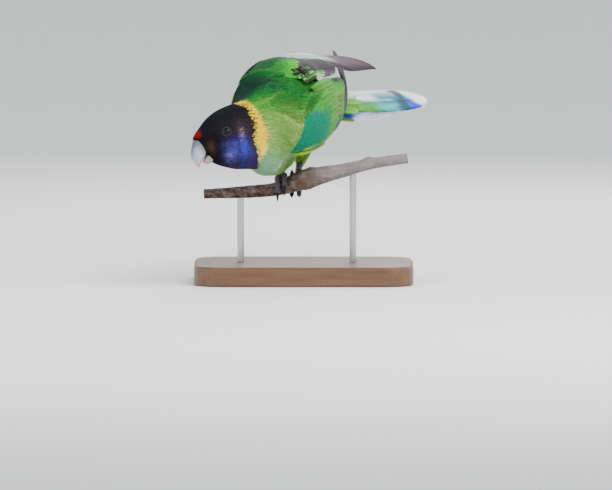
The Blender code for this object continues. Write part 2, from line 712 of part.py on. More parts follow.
def leg(hand):
    foot = FEET[hand]
    pad = foot_pad(foot)
    toes = []
    claws = []
    for number, toe in TOES.items():
        path = toe_path(foot, toe)
        radii = spread(TOE_RADIUS, TOE_END_RADIUS, len(path))
        toes.append(tube("toe", path, radii, TOE_SIDES))
        ahead = (path[-1] - path[-2]).normalized()
        axis, _ = perch_centre(foot["perch"] + foot["outer"] * toe["offset"])
        inward = (axis - path[-1]).normalized()
        inward = (inward - ahead * inward.dot(ahead)).normalized()
        base = path[-1] + ahead * GAP
        curve = [base + ahead * toe["claw"] * s + inward * toe["claw"] * 0.38 * s * s
                 for s in (0.0, 0.3, 0.6, 0.85, 1.0)]
        size = TOE_END_RADIUS * 0.8
        claws.append(tube(f"claw_{hand}_{number}", curve, [size, size * 0.8, size * 0.55, size * 0.3, size * 0.12],
                          CLAW_SIDES))
    pad_ball = ball("pad", pad, TOE_RADIUS * 1.25, 8, 6)
    obj = combine(tarsus("leg_" + hand, hand), toes + [pad_ball], "UNION")
    return combine(obj, [perch("perch_room", GAP), torso("torso_room", GAP)], "DIFFERENCE"), claws


def thigh(hand):
    foot = FEET[hand]
    ankle, start = GRIP + foot["ankle"], GRIP + foot["thigh"]
    end = ankle + (foot_pad(foot) - ankle).normalized() * THIGH_OVERLAP
    path = [start, start + (ankle - start) * 0.55, ankle, end]
    obj = tube("thigh_" + hand, path, [radius * foot["size"] for radius in THIGH_RADII], 14)
    return combine(obj, [torso("torso_room", GAP), tarsus("tarsus_room", hand, GAP)], "DIFFERENCE")


def stand_base():
    outline = []
    for corner in range(4):
        sx, sy = ((1, 1), (-1, 1), (-1, -1), (1, -1))[corner]
        centre = Vector((sx * (BASE_LENGTH / 2 - BASE_CORNER), sy * (BASE_DEPTH / 2 - BASE_CORNER), 0))
        for k in range(CORNER_STEPS + 1):
            angle = math.radians(90 * corner + 90 * k / CORNER_STEPS)
            outline.append((centre, Vector((math.cos(angle), math.sin(angle), 0))))
    rings = []
    for inset, height in ((BASE_BEVEL / 2, 0), (0, BASE_BEVEL / 2),
                          (0, BASE_HEIGHT - BASE_BEVEL), (BASE_BEVEL, BASE_HEIGHT)):
        rings.append([c + d * (BASE_CORNER - inset) + Vector((0, 0, height)) for c, d in outline])
    return loft("stand_base", rings)


def stand_rod(hand):
    centre, _ = perch_centre(ROD_PLACES[hand])
    foot = Vector((centre.x, centre.y, BASE_HEIGHT + GAP))
    obj = tube("stand_rod_" + hand, [foot, centre], [ROD_RADIUS] * 2, ROD_SIDES)
    return combine(obj, [perch("perch_room", GAP)], "DIFFERENCE")


def build():
    for obj in list(bpy.data.objects):
        bpy.data.objects.remove(obj)
    finish(torso("torso"), "torso")
    finish(neck("neck"), "neck")
    finish(head(), "head")
    for obj in bills():
        finish(obj, "bill")
    for hand, side in WING_SIDE.items():
        finish(ball("eye_" + hand, eye_frame(side).translation, EYE_RADIUS), "eye")
        finish(wing(hand), "wing")
        finish(thigh(hand), "thigh")
        limb, claws = leg(hand)
        finish(limb, "leg")
        for claw in claws:
            finish(claw, "claw")
        finish(stand_rod(hand), "stand_rod")
    finish(tail(), "tail")
    finish(perch("perch"), "perch")
    finish(stand_base(), "stand_base")


build()
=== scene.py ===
import math

import bpy
import numpy as np
from mathutils import Matrix, Vector, noise
from mathutils.bvhtree import BVHTree


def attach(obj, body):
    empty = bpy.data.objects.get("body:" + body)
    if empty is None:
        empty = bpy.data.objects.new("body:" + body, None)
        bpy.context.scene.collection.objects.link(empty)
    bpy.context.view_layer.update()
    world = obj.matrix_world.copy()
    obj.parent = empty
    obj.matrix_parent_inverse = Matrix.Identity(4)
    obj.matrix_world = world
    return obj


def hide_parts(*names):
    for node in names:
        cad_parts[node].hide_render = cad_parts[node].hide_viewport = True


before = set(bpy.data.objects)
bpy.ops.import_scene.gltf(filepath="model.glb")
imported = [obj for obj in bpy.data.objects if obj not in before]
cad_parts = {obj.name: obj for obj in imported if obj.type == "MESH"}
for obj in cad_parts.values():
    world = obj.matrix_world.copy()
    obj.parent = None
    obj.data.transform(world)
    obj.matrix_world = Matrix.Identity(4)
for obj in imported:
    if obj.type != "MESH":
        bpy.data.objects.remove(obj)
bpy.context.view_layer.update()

# Lengths below are in centimetres, as in the part's own source, and cm turns them into metres
cm = 0.01

# Each frame has x forward along that part of the bird, y to its left and z towards its back
stance = {
    "grip": (-1.0, 0.0, 7.4),  # middle of the branch under the bird
    "bodyPlace": (0.90, -0.57, 6.16),
    "bodyTurn": (20.8, -7.2, 53.0),  # heading, pitch, roll
    "headPlace": (-4.37, -8.26, 3.72),
    "headTurn": (74.2, -17.0, -8.5),
    "tailRoot": (-7.7, 1.22, -1.92),  # in the body's frame
    "tailTurn": (21.2, 2.3, 48.0),
}
sides = {"left": 1, "right": -1}


# Small helpers
def shade(red, green, blue):
    # A screen colour as linear light
    values = np.array([red, green, blue]) / 255
    return np.where(values <= 0.04045, values / 12.92, ((values + 0.055) / 1.055) ** 2.4)


def smoothStep(t):
    t = np.clip(t, 0.0, 1.0)
    return t * t * (3 - 2 * t)


def between(value, start, end):
    # 0 before start, 1 after end, smooth on the way; end may be below start
    return smoothStep((value - start) / (end - start))


def blendIn(base, colour, amount):
    return base + (np.asarray(colour) - base) * np.asarray(amount)[..., None]


def filled(colour, count):
    # The same colour for a number of places
    return np.repeat(np.asarray(colour)[None], count, axis=0)


def painted(base, palette, *steps):
    # Blends colours of the palette over the base one after another, each by its own amounts
    for name, amount in steps:
        base = blendIn(base, palette[name], amount)
    return base


def unit(vectors):
    return vectors / np.maximum(np.linalg.norm(vectors, axis=-1, keepdims=True), 1e-9)


def curveAt(table, x):
    # The table's columns on a smooth curve through its rows
    rows = np.array(sorted(table), float)
    keys, values = rows[:, 0], rows[:, 1:]
    low = np.maximum(np.arange(len(keys)) - 1, 0)
    high = np.minimum(np.arange(len(keys)) + 1, len(keys) - 1)
    slopes = (values[high] - values[low]) / (keys[high] - keys[low])[:, None]
    x = np.clip(np.asarray(x, float), keys[0], keys[-1])
    i = np.clip(np.searchsorted(keys, x, side="right") - 1, 0, len(keys) - 2)
    span = (keys[i + 1] - keys[i])[..., None]
    t = (x - keys[i])[..., None] / span
    return (
        values[i] * (2 * t**3 - 3 * t**2 + 1)
        + slopes[i] * span * (t**3 - 2 * t**2 + t)
        + values[i + 1] * (3 * t**2 - 2 * t**3)
        + slopes[i + 1] * span * (t**3 - t**2)
    )


def frameAt(origin, turn):
    heading, pitch, roll = (math.radians(angle) for angle in turn)
    level = math.cos(pitch)
    forward = Vector((-math.sin(heading) * level, -math.cos(heading) * level, math.sin(pitch)))
    levelLeft = Vector((math.cos(heading), -math.sin(heading), 0.0))
    up = forward.cross(levelLeft) * math.cos(roll) + levelLeft * math.sin(roll)
    matrix = Matrix((forward, up.cross(forward), up)).transposed().to_4x4()
    matrix.translation = origin
    return matrix


def placed(matrix, points):
    array = np.array(matrix)
    return np.asarray(points) @ array[:3, :3].T + array[:3, 3]


def seenFrom(matrix, points):
    return placed(matrix.inverted(), points)


grip = Vector(stance["grip"])
bodyFrame = frameAt(grip + Vector(stance["bodyPlace"]), stance["bodyTurn"])
headFrame = frameAt(grip + Vector(stance["headPlace"]), stance["headTurn"])
tailFrame = frameAt(bodyFrame @ Vector(stance["tailRoot"]), stance["tailTurn"])


# Mesh making
def makePiece(name, points, faces, material, tints=None, patch=None, lay=None):
    # Points in centimetres; faces is a list of arrays, each with 3 or 4 corners a face
    mesh = bpy.data.meshes.new(name)
    corners = np.concatenate([np.asarray(each, np.int32).ravel() for each in faces])
    totals = np.concatenate([np.full(len(each), np.asarray(each).shape[1], np.int32) for each in faces])
    starts = np.concatenate([[0], np.cumsum(totals)[:-1]]).astype(np.int32)
    points = np.asarray(points, np.float32).reshape(-1, 3) * cm
    mesh.vertices.add(len(points))
    mesh.vertices.foreach_set("co", points.ravel())
    mesh.loops.add(len(corners))
    mesh.loops.foreach_set("vertex_index", corners)
    mesh.polygons.add(len(totals))
    mesh.polygons.foreach_set("loop_start", starts)
    mesh.polygons.foreach_set("loop_total", totals)
    mesh.polygons.foreach_set("use_smooth", np.ones(len(totals), bool))
    if patch is not None:
        layer = mesh.uv_layers.new(name="OFBake")
        layer.data.foreach_set("uv", np.asarray(patch, np.float32).reshape(-1, 2)[corners].ravel())
    if tints is not None:
        colours = np.ones((len(points), 4), np.float32)
        colours[:, :3] = np.clip(np.asarray(tints).reshape(-1, 3), 0, 1)
        mesh.attributes.new("tint", "FLOAT_COLOR", "POINT").data.foreach_set("color", colours.ravel())
    if lay is not None:
        vectors = np.asarray(lay, np.float32).reshape(-1, 3)
        mesh.attributes.new("lay", "FLOAT_VECTOR", "POINT").data.foreach_set("vector", vectors.ravel())
    mesh.materials.append(material)
    mesh.update()
    mesh.validate()
    piece = bpy.data.objects.new(name, mesh)
    bpy.context.scene.collection.objects.link(piece)
    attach(piece, "root")
    return piece


def sheetFaces(rows, columns, wrap=False, start=0):
    # Quads over a grid of points; wrap joins the last column to the first
    i, j = np.meshgrid(np.arange(rows - 1), np.arange(columns if wrap else columns - 1), indexing="ij")
    nextColumn = (j + 1) % columns
    a, b = i * columns + j, i * columns + nextColumn
    return start + np.stack([a, b, b + columns, a + columns], -1).reshape(-1, 4)


def woundInwards(points, faces):
    corner = points[faces] - points.mean(0)
    return np.einsum("ij,ij->i", corner[:, 0], np.cross(corner[:, 1], corner[:, 2])).sum() < 0


def lofted(rings):
    # Points and faces of a closed body through rings of points, with a middle point at each end
    rings = np.asarray(rings)
    rows, around = rings.shape[:2]
    points = np.concatenate([rings.reshape(-1, 3), rings[:1].mean(1), rings[-1:].mean(1)])
    ring = np.arange(around)
    following = (ring + 1) % around
    base = (rows - 1) * around
    front = np.stack([following, ring, np.full(around, rows * around)], -1)
    back = np.stack([base + ring, base + following, np.full(around, rows * around + 1)], -1)
    faces = [sheetFaces(rows, around, wrap=True), front, back]
    if woundInwards(points, faces[1]):
        faces = [each[:, ::-1] for each in faces]
    return points, faces


def closedSheet(upper, lower):
    # Points and faces of a thin closed body between two grids of points
    rows, columns = upper.shape[:2]
    points = np.concatenate([upper.reshape(-1, 3), lower.reshape(-1, 3)])
    size = rows * columns
    grid = np.arange(size).reshape(rows, columns)
    rim = np.concatenate([grid[0], grid[1:, -1], grid[-1, -2::-1], grid[-2:0:-1, 0]])
    following = np.roll(rim, -1)
    faces = np.concatenate([
        sheetFaces(rows, columns), sheetFaces(rows, columns, start=size)[:, ::-1],
        np.stack([rim, rim + size, following + size, following], -1),
    ])
    return points, faces[:, ::-1] if woundInwards(points, faces) else faces


def tubeRings(path, radii, around):
    # Rings round a path that turn with it
    path = np.asarray(path, float)
    ahead = unit(np.gradient(path, axis=0))
    side = np.cross((0.0, 0.0, 1.0), ahead[0])
    if np.linalg.norm(side) < 1e-3:
        side = np.array((1.0, 0.0, 0.0))
    turns = np.linspace(0, 2 * math.pi, around, endpoint=False)
    rings = []
    for point, direction, radius in zip(path, ahead, radii):
        side = unit(side - direction * (side @ direction))
        top = np.cross(direction, side)
        rings.append(point + (np.outer(np.cos(turns), side) + np.outer(np.sin(turns), top))
                     * np.asarray(radius).reshape(-1, 1))
    return np.array(rings)


# Surfaces that feathers grow on: a grid of places whose rows run against the lie of the feathers
def makeSurface(points, wrap):
    points = np.asarray(points, float)
    stepRow = np.gradient(points, axis=0)
    if wrap:
        stepTurn = (np.roll(points, -1, axis=1) - np.roll(points, 1, axis=1)) / 2
    else:
        stepTurn = np.gradient(points, axis=1)
    normals = unit(np.cross(stepRow, stepTurn))
    return {
        "points": points,
        "normals": normals,
        "rowLength": np.linalg.norm(stepRow, axis=-1),
        "turnLength": np.linalg.norm(stepTurn, axis=-1),
        "wrap": wrap,
    }


def faceOut(surface, middles):
    # Turns the normals away from the middle of each row
    outward = np.einsum("ijk,ijk->ij", surface["normals"], surface["points"] - middles[:, None])
    if outward.mean() < 0:
        surface["normals"] = -surface["normals"]
    return surface


def surfaceAt(surface, row, turn, *fields):
    # Fields of the surface at fractional rows and turns, carried on straight past its ends
    rows, around = surface["points"].shape[:2]
    r = np.clip(np.floor(row).astype(int), 0, rows - 2)
    restRow = (row - r)[..., None]
    if surface["wrap"]:
        t = np.floor(turn).astype(int)
        restTurn = (turn - t)[..., None]
        low, high = t % around, (t + 1) % around
    else:
        low = np.clip(np.floor(turn).astype(int), 0, around - 2)
        high = low + 1
        restTurn = (turn - low)[..., None]
    found = []
    for field in fields:
        values = surface[field]
        if values.ndim == 2:
            values = values[..., None]
        near = values[r, low] * (1 - restTurn) + values[r, high] * restTurn
        far = values[r + 1, low] * (1 - restTurn) + values[r + 1, high] * restTurn
        value = near * (1 - restRow) + far * restRow
        found.append(value[..., 0] if surface[field].ndim == 2 else value)
    return found


evenSteps = (0.7548776662, 0.5698402910)  # their multiples spread places evenly over a square


def scatter(surface, count, density, rng):
    # Even places over the surface, closer together where the density is higher
    weight = surface["rowLength"] * surface["turnLength"] * density
    rows, around = weight.shape
    first, second = ((0.5 + np.arange(count) * step) % 1 for step in evenSteps)
    rowTotals = np.concatenate([[0], np.cumsum(weight.sum(1))])
    row = np.interp(first * rowTotals[-1], rowTotals, np.arange(rows + 1)) - 0.5
    turn = np.zeros(count)
    nearest = np.clip(np.round(row).astype(int), 0, rows - 1)
    for r in np.unique(nearest):
        chosen = nearest == r
        totals = np.concatenate([[0], np.cumsum(weight[r])])
        turn[chosen] = np.interp(second[chosen] * totals[-1], totals, np.arange(around + 1)) - 0.5
    row += rng.normal(0, 0.12, count)
    turn += rng.normal(0, 0.15, count)
    row = np.clip(row, 0, rows - 1.001)
    if not surface["wrap"]:
        turn = np.clip(turn, 0, around - 1.001)
    return row, turn


# Small feathers: thin closed vanes with a low ridge, three-sided between a point at the root and the tip
vaneShape = {
    "shares": np.array([0.0, 0.30, 0.66, 0.91, 1.0]),
    "widths": np.array([0.0, 0.86, 1.0, 0.60, 0.0]),
    "ridge": 0.10,  # share of the half width
}
fineShape = {
    "shares": np.array([0.0, 0.45, 0.86, 1.0]),
    "widths": np.array([0.0, 1.0, 0.74, 0.0]),
    "ridge": 0.12,
}
strandShape = {
    "shares": np.array([0.0, 0.40, 0.78, 1.0]),
    "widths": np.array([0.0, 1.0, 0.7, 0.0]),
    "ridge": 0.4,
}


def layVanes(surface, row, turn, length, width, yaw, lift, shape=vaneShape, sink=-0.03, curl=1.5):
    # Points (feather, station, side, xyz) of vanes that hug the surface from root to tip
    shares, widths = shape["shares"], shape["widths"]
    rowLength, turnLength = surfaceAt(surface, row, turn, "rowLength", "turnLength")
    reach = length[:, None] * shares
    rows = row[:, None] - reach * np.cos(yaw)[:, None] / np.maximum(rowLength, 0.02)[:, None]
    turns = turn[:, None] + reach * np.sin(yaw)[:, None] / np.maximum(turnLength, 0.02)[:, None]
    centre, normal = surfaceAt(surface, rows, turns, "points", "normals")
    normal = unit(normal)
    height = sink + (lift[:, None] - sink) * shares**curl
    centre = centre + normal * height[..., None]
    ahead = unit(np.gradient(centre, axis=1))
    across = unit(np.cross(normal, ahead))
    half = width[:, None] / 2 * widths
    ridge = (half * shape["ridge"] + 0.004)[..., None]
    left, right = centre - across * half[..., None], centre + across * half[..., None]
    return np.stack([left, centre + normal * ridge, right], axis=2)


def vaneFaces(count, stations):
    # Faces of closed vanes: a fan at the root, bands of three, and a fan at the tip
    middles = stations - 2
    size = middles * 3 + 2
    base = (np.arange(count) * size)[:, None, None]
    step = (1 + np.arange(middles - 1) * 3)[None, :, None]
    band = np.array([[0, 3, 4, 1], [1, 4, 5, 2], [0, 2, 5, 3]])
    quads = (base[..., None] + step[..., None] + band).reshape(-1, 4)
    last, tip = size - 4, size - 1
    fans = np.array([
        [0, 1, 2], [0, 2, 3], [0, 3, 1],
        [last, tip, last + 1], [last + 1, tip, last + 2], [last, last + 2, tip],
    ])
    return [quads, (base + fans).reshape(-1, 3)]


def gathered(values):
    # Three values a station, but one at the root and one at the tip
    count, stations = values.shape[:2]
    middles = values[:, 1:-1].reshape(count, (stations - 2) * 3, -1)
    return np.concatenate([values[:, :1, 1], middles, values[:, -1:, 1]], axis=1)


def coatPiece(name, surface, row, turn, points, tints, material, rng):
    # One coat piece from laid vanes; tints has a colour for each feather, station and side
    count, stations = points.shape[:2]
    rows, around = surface["points"].shape[:2]
    share = np.linspace(-0.5, 0.5, stations)
    patch = np.zeros((count, stations, 3, 2))
    patch[..., 0] = (turn % around / around)[:, None, None] * 0.99 + np.array([-0.0012, 0, 0.0012]) + 0.005
    patch[..., 1] = (row / rows)[:, None, None] * 0.99 + share[:, None] * 0.003 + 0.005
    lengths = np.linalg.norm(points[:, -1, 1] - points[:, 0, 1], axis=-1)
    spans = np.linalg.norm(points[:, :, 2] - points[:, :, 0], axis=-1)
    lay = np.zeros((count, stations, 3, 3))
    lay[..., 0] = lengths[:, None, None] * np.linspace(0, 1, stations)[:, None]
    lay[..., 1] = spans[..., None] * np.array([0.5, 0, 0.5])
    lay[..., 2] = rng.random(count)[:, None, None]
    points, tints, patch, lay = (gathered(each) for each in (points, tints, patch, lay))
    return makePiece(name, points, vaneFaces(count, stations), material, tints, patch, lay)


# Node materials
def newMaterial(name, colour, roughness, metallic=0.0, specular=0.5, coat=0.0, sheen=0.0):
    material = bpy.data.materials.new(name)
    material.use_nodes = True
    nodes, links = material.node_tree.nodes, material.node_tree.links
    shader = nodes["Principled BSDF"]
    shader.inputs["Base Color"].default_value = (*colour, 1.0)
    shader.inputs["Roughness"].default_value = roughness
    shader.inputs["Metallic"].default_value = metallic
    shader.inputs["Specular IOR Level"].default_value = specular
    shader.inputs["Coat Weight"].default_value = coat
    shader.inputs["Coat Roughness"].default_value = 0.05
    shader.inputs["Sheen Weight"].default_value = sheen
    return material, nodes, links, shader


def attributeNode(nodes, name, output="Color"):
    node = nodes.new("ShaderNodeAttribute")
    node.attribute_name = name
    return node.outputs[output]


def objectPlace(nodes):
    return nodes.new("ShaderNodeTexCoord").outputs["Object"]


def stretchedPlace(nodes, links, scale):
    node = nodes.new("ShaderNodeMapping")
    node.inputs["Scale"].default_value = scale
    links.new(objectPlace(nodes), node.inputs["Vector"])
    return node.outputs[0]


def noiseNode(nodes, links, source, scale, detail=4.0, roughness=0.55):
    texture = nodes.new("ShaderNodeTexNoise")
    texture.inputs["Scale"].default_value = scale
    texture.inputs["Detail"].default_value = detail
    texture.inputs["Roughness"].default_value = roughness
    links.new(source, texture.inputs["Vector"])
    return texture.outputs[0]


def cellNode(nodes, links, scale, feature="F1"):
    cells = nodes.new("ShaderNodeTexVoronoi")
    cells.feature = feature
    cells.inputs["Scale"].default_value = scale
    links.new(objectPlace(nodes), cells.inputs["Vector"])
    return cells.outputs["Distance"]


def mathNode(nodes, links, operation, *values, clamp=False):
    node = nodes.new("ShaderNodeMath")
    node.operation = operation
    node.use_clamp = clamp
    for socket, value in zip(node.inputs, values):
        if isinstance(value, (int, float)):
            socket.default_value = value
        else:
            links.new(value, socket)
    return node.outputs[0]


def mixColours(nodes, links, factor, first, second, kind="MIX"):
    node = nodes.new("ShaderNodeMix")
    node.data_type = "RGBA"
    node.blend_type = kind
    for socket, value in zip((node.inputs[0], node.inputs[6], node.inputs[7]), (factor, first, second)):
        if isinstance(value, (int, float)):
            socket.default_value = value
        elif isinstance(value, (tuple, list, np.ndarray)):
            socket.default_value = (*value, 1.0)
        else:
            links.new(value, socket)
    return node.outputs[2]


def baseColour(nodes, links, shader, colour, tone=None):
    # Sets the base colour from a socket, multiplied by the tone if there is one
    if tone is not None:
        colour = mixColours(nodes, links, 1.0, colour, tone, "MULTIPLY")
    links.new(colour, shader.inputs["Base Color"])


def addBump(nodes, links, shader, height, strength, distance):
    bump = nodes.new("ShaderNodeBump")
    bump.inputs["Strength"].default_value = strength
    bump.inputs["Distance"].default_value = distance
    links.new(height, bump.inputs["Height"])
    links.new(bump.outputs["Normal"], shader.inputs["Normal"])


plumage = {
    "barbsPerCm": 26.0,  # barb lines along a feather
    "barbDepth": 0.00012,
    "mottle": 0.20,
    "roughness": 0.62,
    "sheen": 0.04,
    "streak": 0.42,
}


def featherMaterial(name, barbStrength=1.0, gloss=0.0):
    # Colour from the piece's tint, with barb lines that slant from the shaft and a soft mottle
    material, nodes, links, shader = newMaterial(
        name, (0.1, 0.3, 0.1), plumage["roughness"] - gloss, specular=0.06 + gloss, sheen=plumage["sheen"])
    shader.inputs["Sheen Roughness"].default_value = 0.4

    def worked(operation, *values):
        return mathNode(nodes, links, operation, *values)

    parts = nodes.new("ShaderNodeSeparateXYZ")
    links.new(attributeNode(nodes, "lay", "Vector"), parts.inputs[0])
    along, across, number = parts.outputs
    slant = worked("ADD", along, worked("MULTIPLY", across, -1.3))
    wave = worked("SINE", worked("MULTIPLY", slant, plumage["barbsPerCm"] * 2 * math.pi))
    place = objectPlace(nodes)
    broad = noiseNode(nodes, links, place, 260.0, 5.0)
    fine = noiseNode(nodes, links, place, 1400.0, 3.0)
    both = worked("ADD", worked("MULTIPLY", broad, 0.6), worked("MULTIPLY", fine, 0.4))
    level = worked("MULTIPLY_ADD", both, plumage["mottle"] * 2, 1 - plumage["mottle"])
    line = worked("MULTIPLY_ADD", wave, 0.05 * barbStrength, 1.0)
    barbs = nodes.new("ShaderNodeCombineXYZ")
    for socket, value, stretch in zip(barbs.inputs, (slant, across, number), (9.0, 1.5, 40.0)):
        links.new(worked("MULTIPLY", value, stretch), socket)
    streak = noiseNode(nodes, links, barbs.outputs[0], 1.0, 3.0, 0.6)
    uneven = worked("MULTIPLY_ADD", streak, plumage["streak"] * 2, 1 - plumage["streak"])
    amount = worked("MULTIPLY", worked("MULTIPLY", level, line), uneven)
    grey = nodes.new("ShaderNodeCombineColor")
    for socket in grey.inputs:
        links.new(amount, socket)
    baseColour(nodes, links, shader, attributeNode(nodes, "tint"), grey.outputs[0])
    height = worked("ADD", worked("MULTIPLY", wave, barbStrength), worked("MULTIPLY", fine, 2.0))
    addBump(nodes, links, shader, height, 0.5, plumage["barbDepth"])
    return material


softFeather = featherMaterial("softFeather", 0.5)
vaneFeather = featherMaterial("vaneFeather", 1.0, 0.04)


# The body's form, as in the solids: x, centre y, centre z, half width, rise, depth, sag to the left
torsoForm = {
    "rows": (
        (3.9, 0.05, -0.52, 3.37, 3.07, 4.40, 1.00),
        (3.0, 0.05, -0.52, 3.40, 3.07, 4.60, 1.40),
        (1.5, 0.05, -0.57, 3.30, 2.92, 4.65, 1.65),
        (0.0, 0.05, -0.70, 3.15, 2.50, 4.25, 1.50),
        (-2.0, 0.15, -0.90, 2.82, 1.90, 3.30, 0.80),
        (-4.0, 0.32, -1.10, 2.38, 1.25, 2.40, 0.20),
        (-5.5, 0.70, -1.30, 1.95, 0.97, 1.78, 0.0),
        (-7.0, 1.00, -1.75, 1.45, 0.75, 1.25, 0.0),
        (-8.0, 1.20, -2.00, 1.05, 0.65, 0.85, 0.0),
        (-8.6, 1.30, -2.15, 0.65, 0.40, 0.50, 0.0),
    ),
    "steps": 72,
    "fullness": 0.95,
    "belly": 0.84,  # fullness of the lower half
    "sagStart": 0.3,
}
neckForm = {  # share, shift to the left, more half width, more rise, more depth
    "rows": (
        (0.0, 0.0, 0.0, 0.0, 0.0),
        (0.3, -0.60, 0.15, 0.15, 0.35),
        (0.6, -0.85, 0.60, 0.42, 0.45),
        (0.85, -0.65, 0.60, 0.35, 0.22),
        (1.0, 0.0, 0.0, 0.0, 0.0),
    ),
    "reach": 4.0,
    "steps": 30,
    "length": 4.83,
}
headForm = {  # x, centre z, half width, rise, depth
    "rows": (
        (-1.35, -0.38, 2.32, 2.60, 2.65),
        (-0.90, -0.29, 2.17, 2.53, 2.58),
        (-0.30, -0.20, 2.00, 2.40, 2.45),
        (0.40, -0.10, 1.84, 2.18, 2.30),
        (1.00, 0.00, 1.66, 1.88, 2.05),
        (1.50, 0.05, 1.42, 1.57, 1.75),
        (1.90, 0.10, 1.14, 1.22, 1.40),
        (2.20, 0.25, 0.88, 0.88, 0.75),
        (2.45, 0.42, 0.62, 0.50, 0.35),
        (2.62, 0.55, 0.33, 0.20, 0.15),
    ),
    "steps": 48,
}
coatDepth = (  # place along the bird from tail to bill, depth of the coat over the skin
    (-8.6, 0.16), (-4.0, 0.20), (3.9, 0.20), (7.5, 0.18),
    (9.0, 0.13), (10.3, 0.07), (11.5, 0.045), (12.7, 0.03),
)
around = 144


def ringPoints(matrix, y, z, halfWidth, rise, depth, sag, upper, lower):
    # One ring of the body; upper and lower say how full its two halves are
    turns = np.linspace(0, 2 * math.pi, around, endpoint=False)
    s, c = np.sin(turns), np.cos(turns)
    fullness = np.where(c > 0, upper, lower)
    across = y + halfWidth * np.sign(s) * np.abs(s) ** fullness
    across = across + sag * smoothStep((-c - torsoForm["sagStart"]) / (1 - torsoForm["sagStart"]))
    height = z + np.where(c > 0, rise, depth) * np.sign(c) * np.abs(c) ** fullness
    return placed(matrix, np.stack([np.zeros(around), across, height], -1))


def bodySurface():
    # One surface from the root of the tail to the bill, inside the solids by the coat's depth
    rings, along = [], []
    front = torsoForm["rows"][0][0]
    upper, belly = torsoForm["fullness"], torsoForm["belly"]
    for x in np.linspace(torsoForm["rows"][-1][0], front, torsoForm["steps"]):
        y, z, width, rise, depth, sag = curveAt(torsoForm["rows"], x)
        inset = curveAt(coatDepth, x)[0]
        matrix = bodyFrame @ Matrix.Translation((x, 0, 0))
        rings.append(ringPoints(matrix, y, z, width - inset, rise - inset, depth - inset, sag, upper, belly))
        along.append(x)
    start = bodyFrame @ Vector((front, 0, 0))
    end = headFrame @ Vector((headForm["rows"][0][0], 0, 0))
    pulls = [matrix.col[0].to_3d() * neckForm["reach"] for matrix in (bodyFrame, headFrame)]
    turns = [bodyFrame.to_quaternion(), headFrame.to_quaternion()]
    first = np.array(torsoForm["rows"][0][1:])
    last = np.array((0.0,) + headForm["rows"][0][1:] + (0.0,))
    for t in np.linspace(0, 1, neckForm["steps"])[1:-1]:
        matrix = turns[0].slerp(turns[1], t).to_matrix().to_4x4()
        matrix.translation = (
            start * (2 * t**3 - 3 * t**2 + 1) + pulls[0] * (t**3 - 2 * t**2 + t)
            + end * (3 * t**2 - 2 * t**3) + pulls[1] * (t**3 - t**2)
        )
        y, z, width, rise, depth, sag = first + (last - first) * t
        shift, moreWidth, moreRise, moreDepth = curveAt(neckForm["rows"], t)
        place = front + neckForm["length"] * t
        inset = curveAt(coatDepth, place)[0]
        sizes = (width + moreWidth - inset, rise + moreRise - inset, depth + moreDepth - inset)
        rings.append(ringPoints(matrix, y + shift, z, *sizes, sag, upper, belly + (upper - belly) * t))
        along.append(place)
    back = headForm["rows"][0][0]
    for x in np.linspace(back, headForm["rows"][-1][0], headForm["steps"]):
        z, *sizes = curveAt(headForm["rows"], x)
        place = front + neckForm["length"] + x - back
        inset = curveAt(coatDepth, place)[0]
        matrix = headFrame @ Matrix.Translation((x, 0, 0))
        fullness = 1.0 - 0.05 * between(x, back + 0.8, back)
        rings.append(ringPoints(matrix, 0, z, *(size - inset for size in sizes), 0.0, fullness, fullness))
        along.append(place)
    points = np.array(rings)
    for _ in range(4):  # eases the joins between torso, neck and head
        eased = points.copy()
        eased[1:-1] = (points[:-2] + points[1:-1] * 2 + points[2:]) / 4
        points = eased
    surface = faceOut(makeSurface(points, wrap=True), points.mean(1))
    surface["along"] = np.repeat(np.array(along)[:, None], around, axis=1)
    return surface


body = bodySurface()
bodyRows = len(body["points"])
bodyTree = BVHTree.FromPolygons(
    body["points"].reshape(-1, 3).tolist(), sheetFaces(bodyRows, around, wrap=True).tolist())
print("body surface ready:", bodyRows, "rows")


def bodyCoordinates(row, turn):
    # Where roots are: along the bird, degrees from the back, and in the head's frame
    place, along = surfaceAt(body, row, turn, "points", "along")
    degrees = (turn * 360 / around + 180) % 360 - 180
    return {
        "along": along,
        "turn": degrees,
        "off": np.abs(degrees),
        "head": seenFrom(headFrame, place),
    }


# Markings of head, neck and body
hues = {
    "crown": shade(10, 11, 24),
    "brow": shade(30, 24, 30),
    "brownGrey": shade(60, 46, 52),
    "lores": shade(12, 9, 12),
    "frontal": shade(150, 14, 8),
    "bareSkin": shade(96, 58, 44),
    "pinkish": shade(168, 132, 128),
    "cheek": shade(46, 38, 78),
    "cheekBlue": shade(64, 74, 206),
    "cheekLilac": shade(124, 116, 186),
    "cheekDark": shade(20, 20, 50),
    "chin": shade(32, 32, 48),
    "collar": shade(250, 211, 0),
    "collarPale": shade(255, 229, 96),
    "collarDeep": shade(226, 174, 0),
    "teal": shade(0, 46, 32),
    "nape": shade(4, 84, 42),
    "mantle": shade(34, 130, 34),
    "side": shade(98, 152, 58),
    "sidePale": shade(160, 184, 104),
    "breast": shade(158, 190, 138),
    "breastTeal": shade(104, 160, 122),
    "breastPale": shade(176, 214, 184),
    "belly": shade(118, 172, 60),
    "vent": shade(164, 186, 66),
    "rump": shade(70, 164, 44),
    "fleck": shade(172, 202, 96),
    "bronze": shade(92, 112, 44),
}
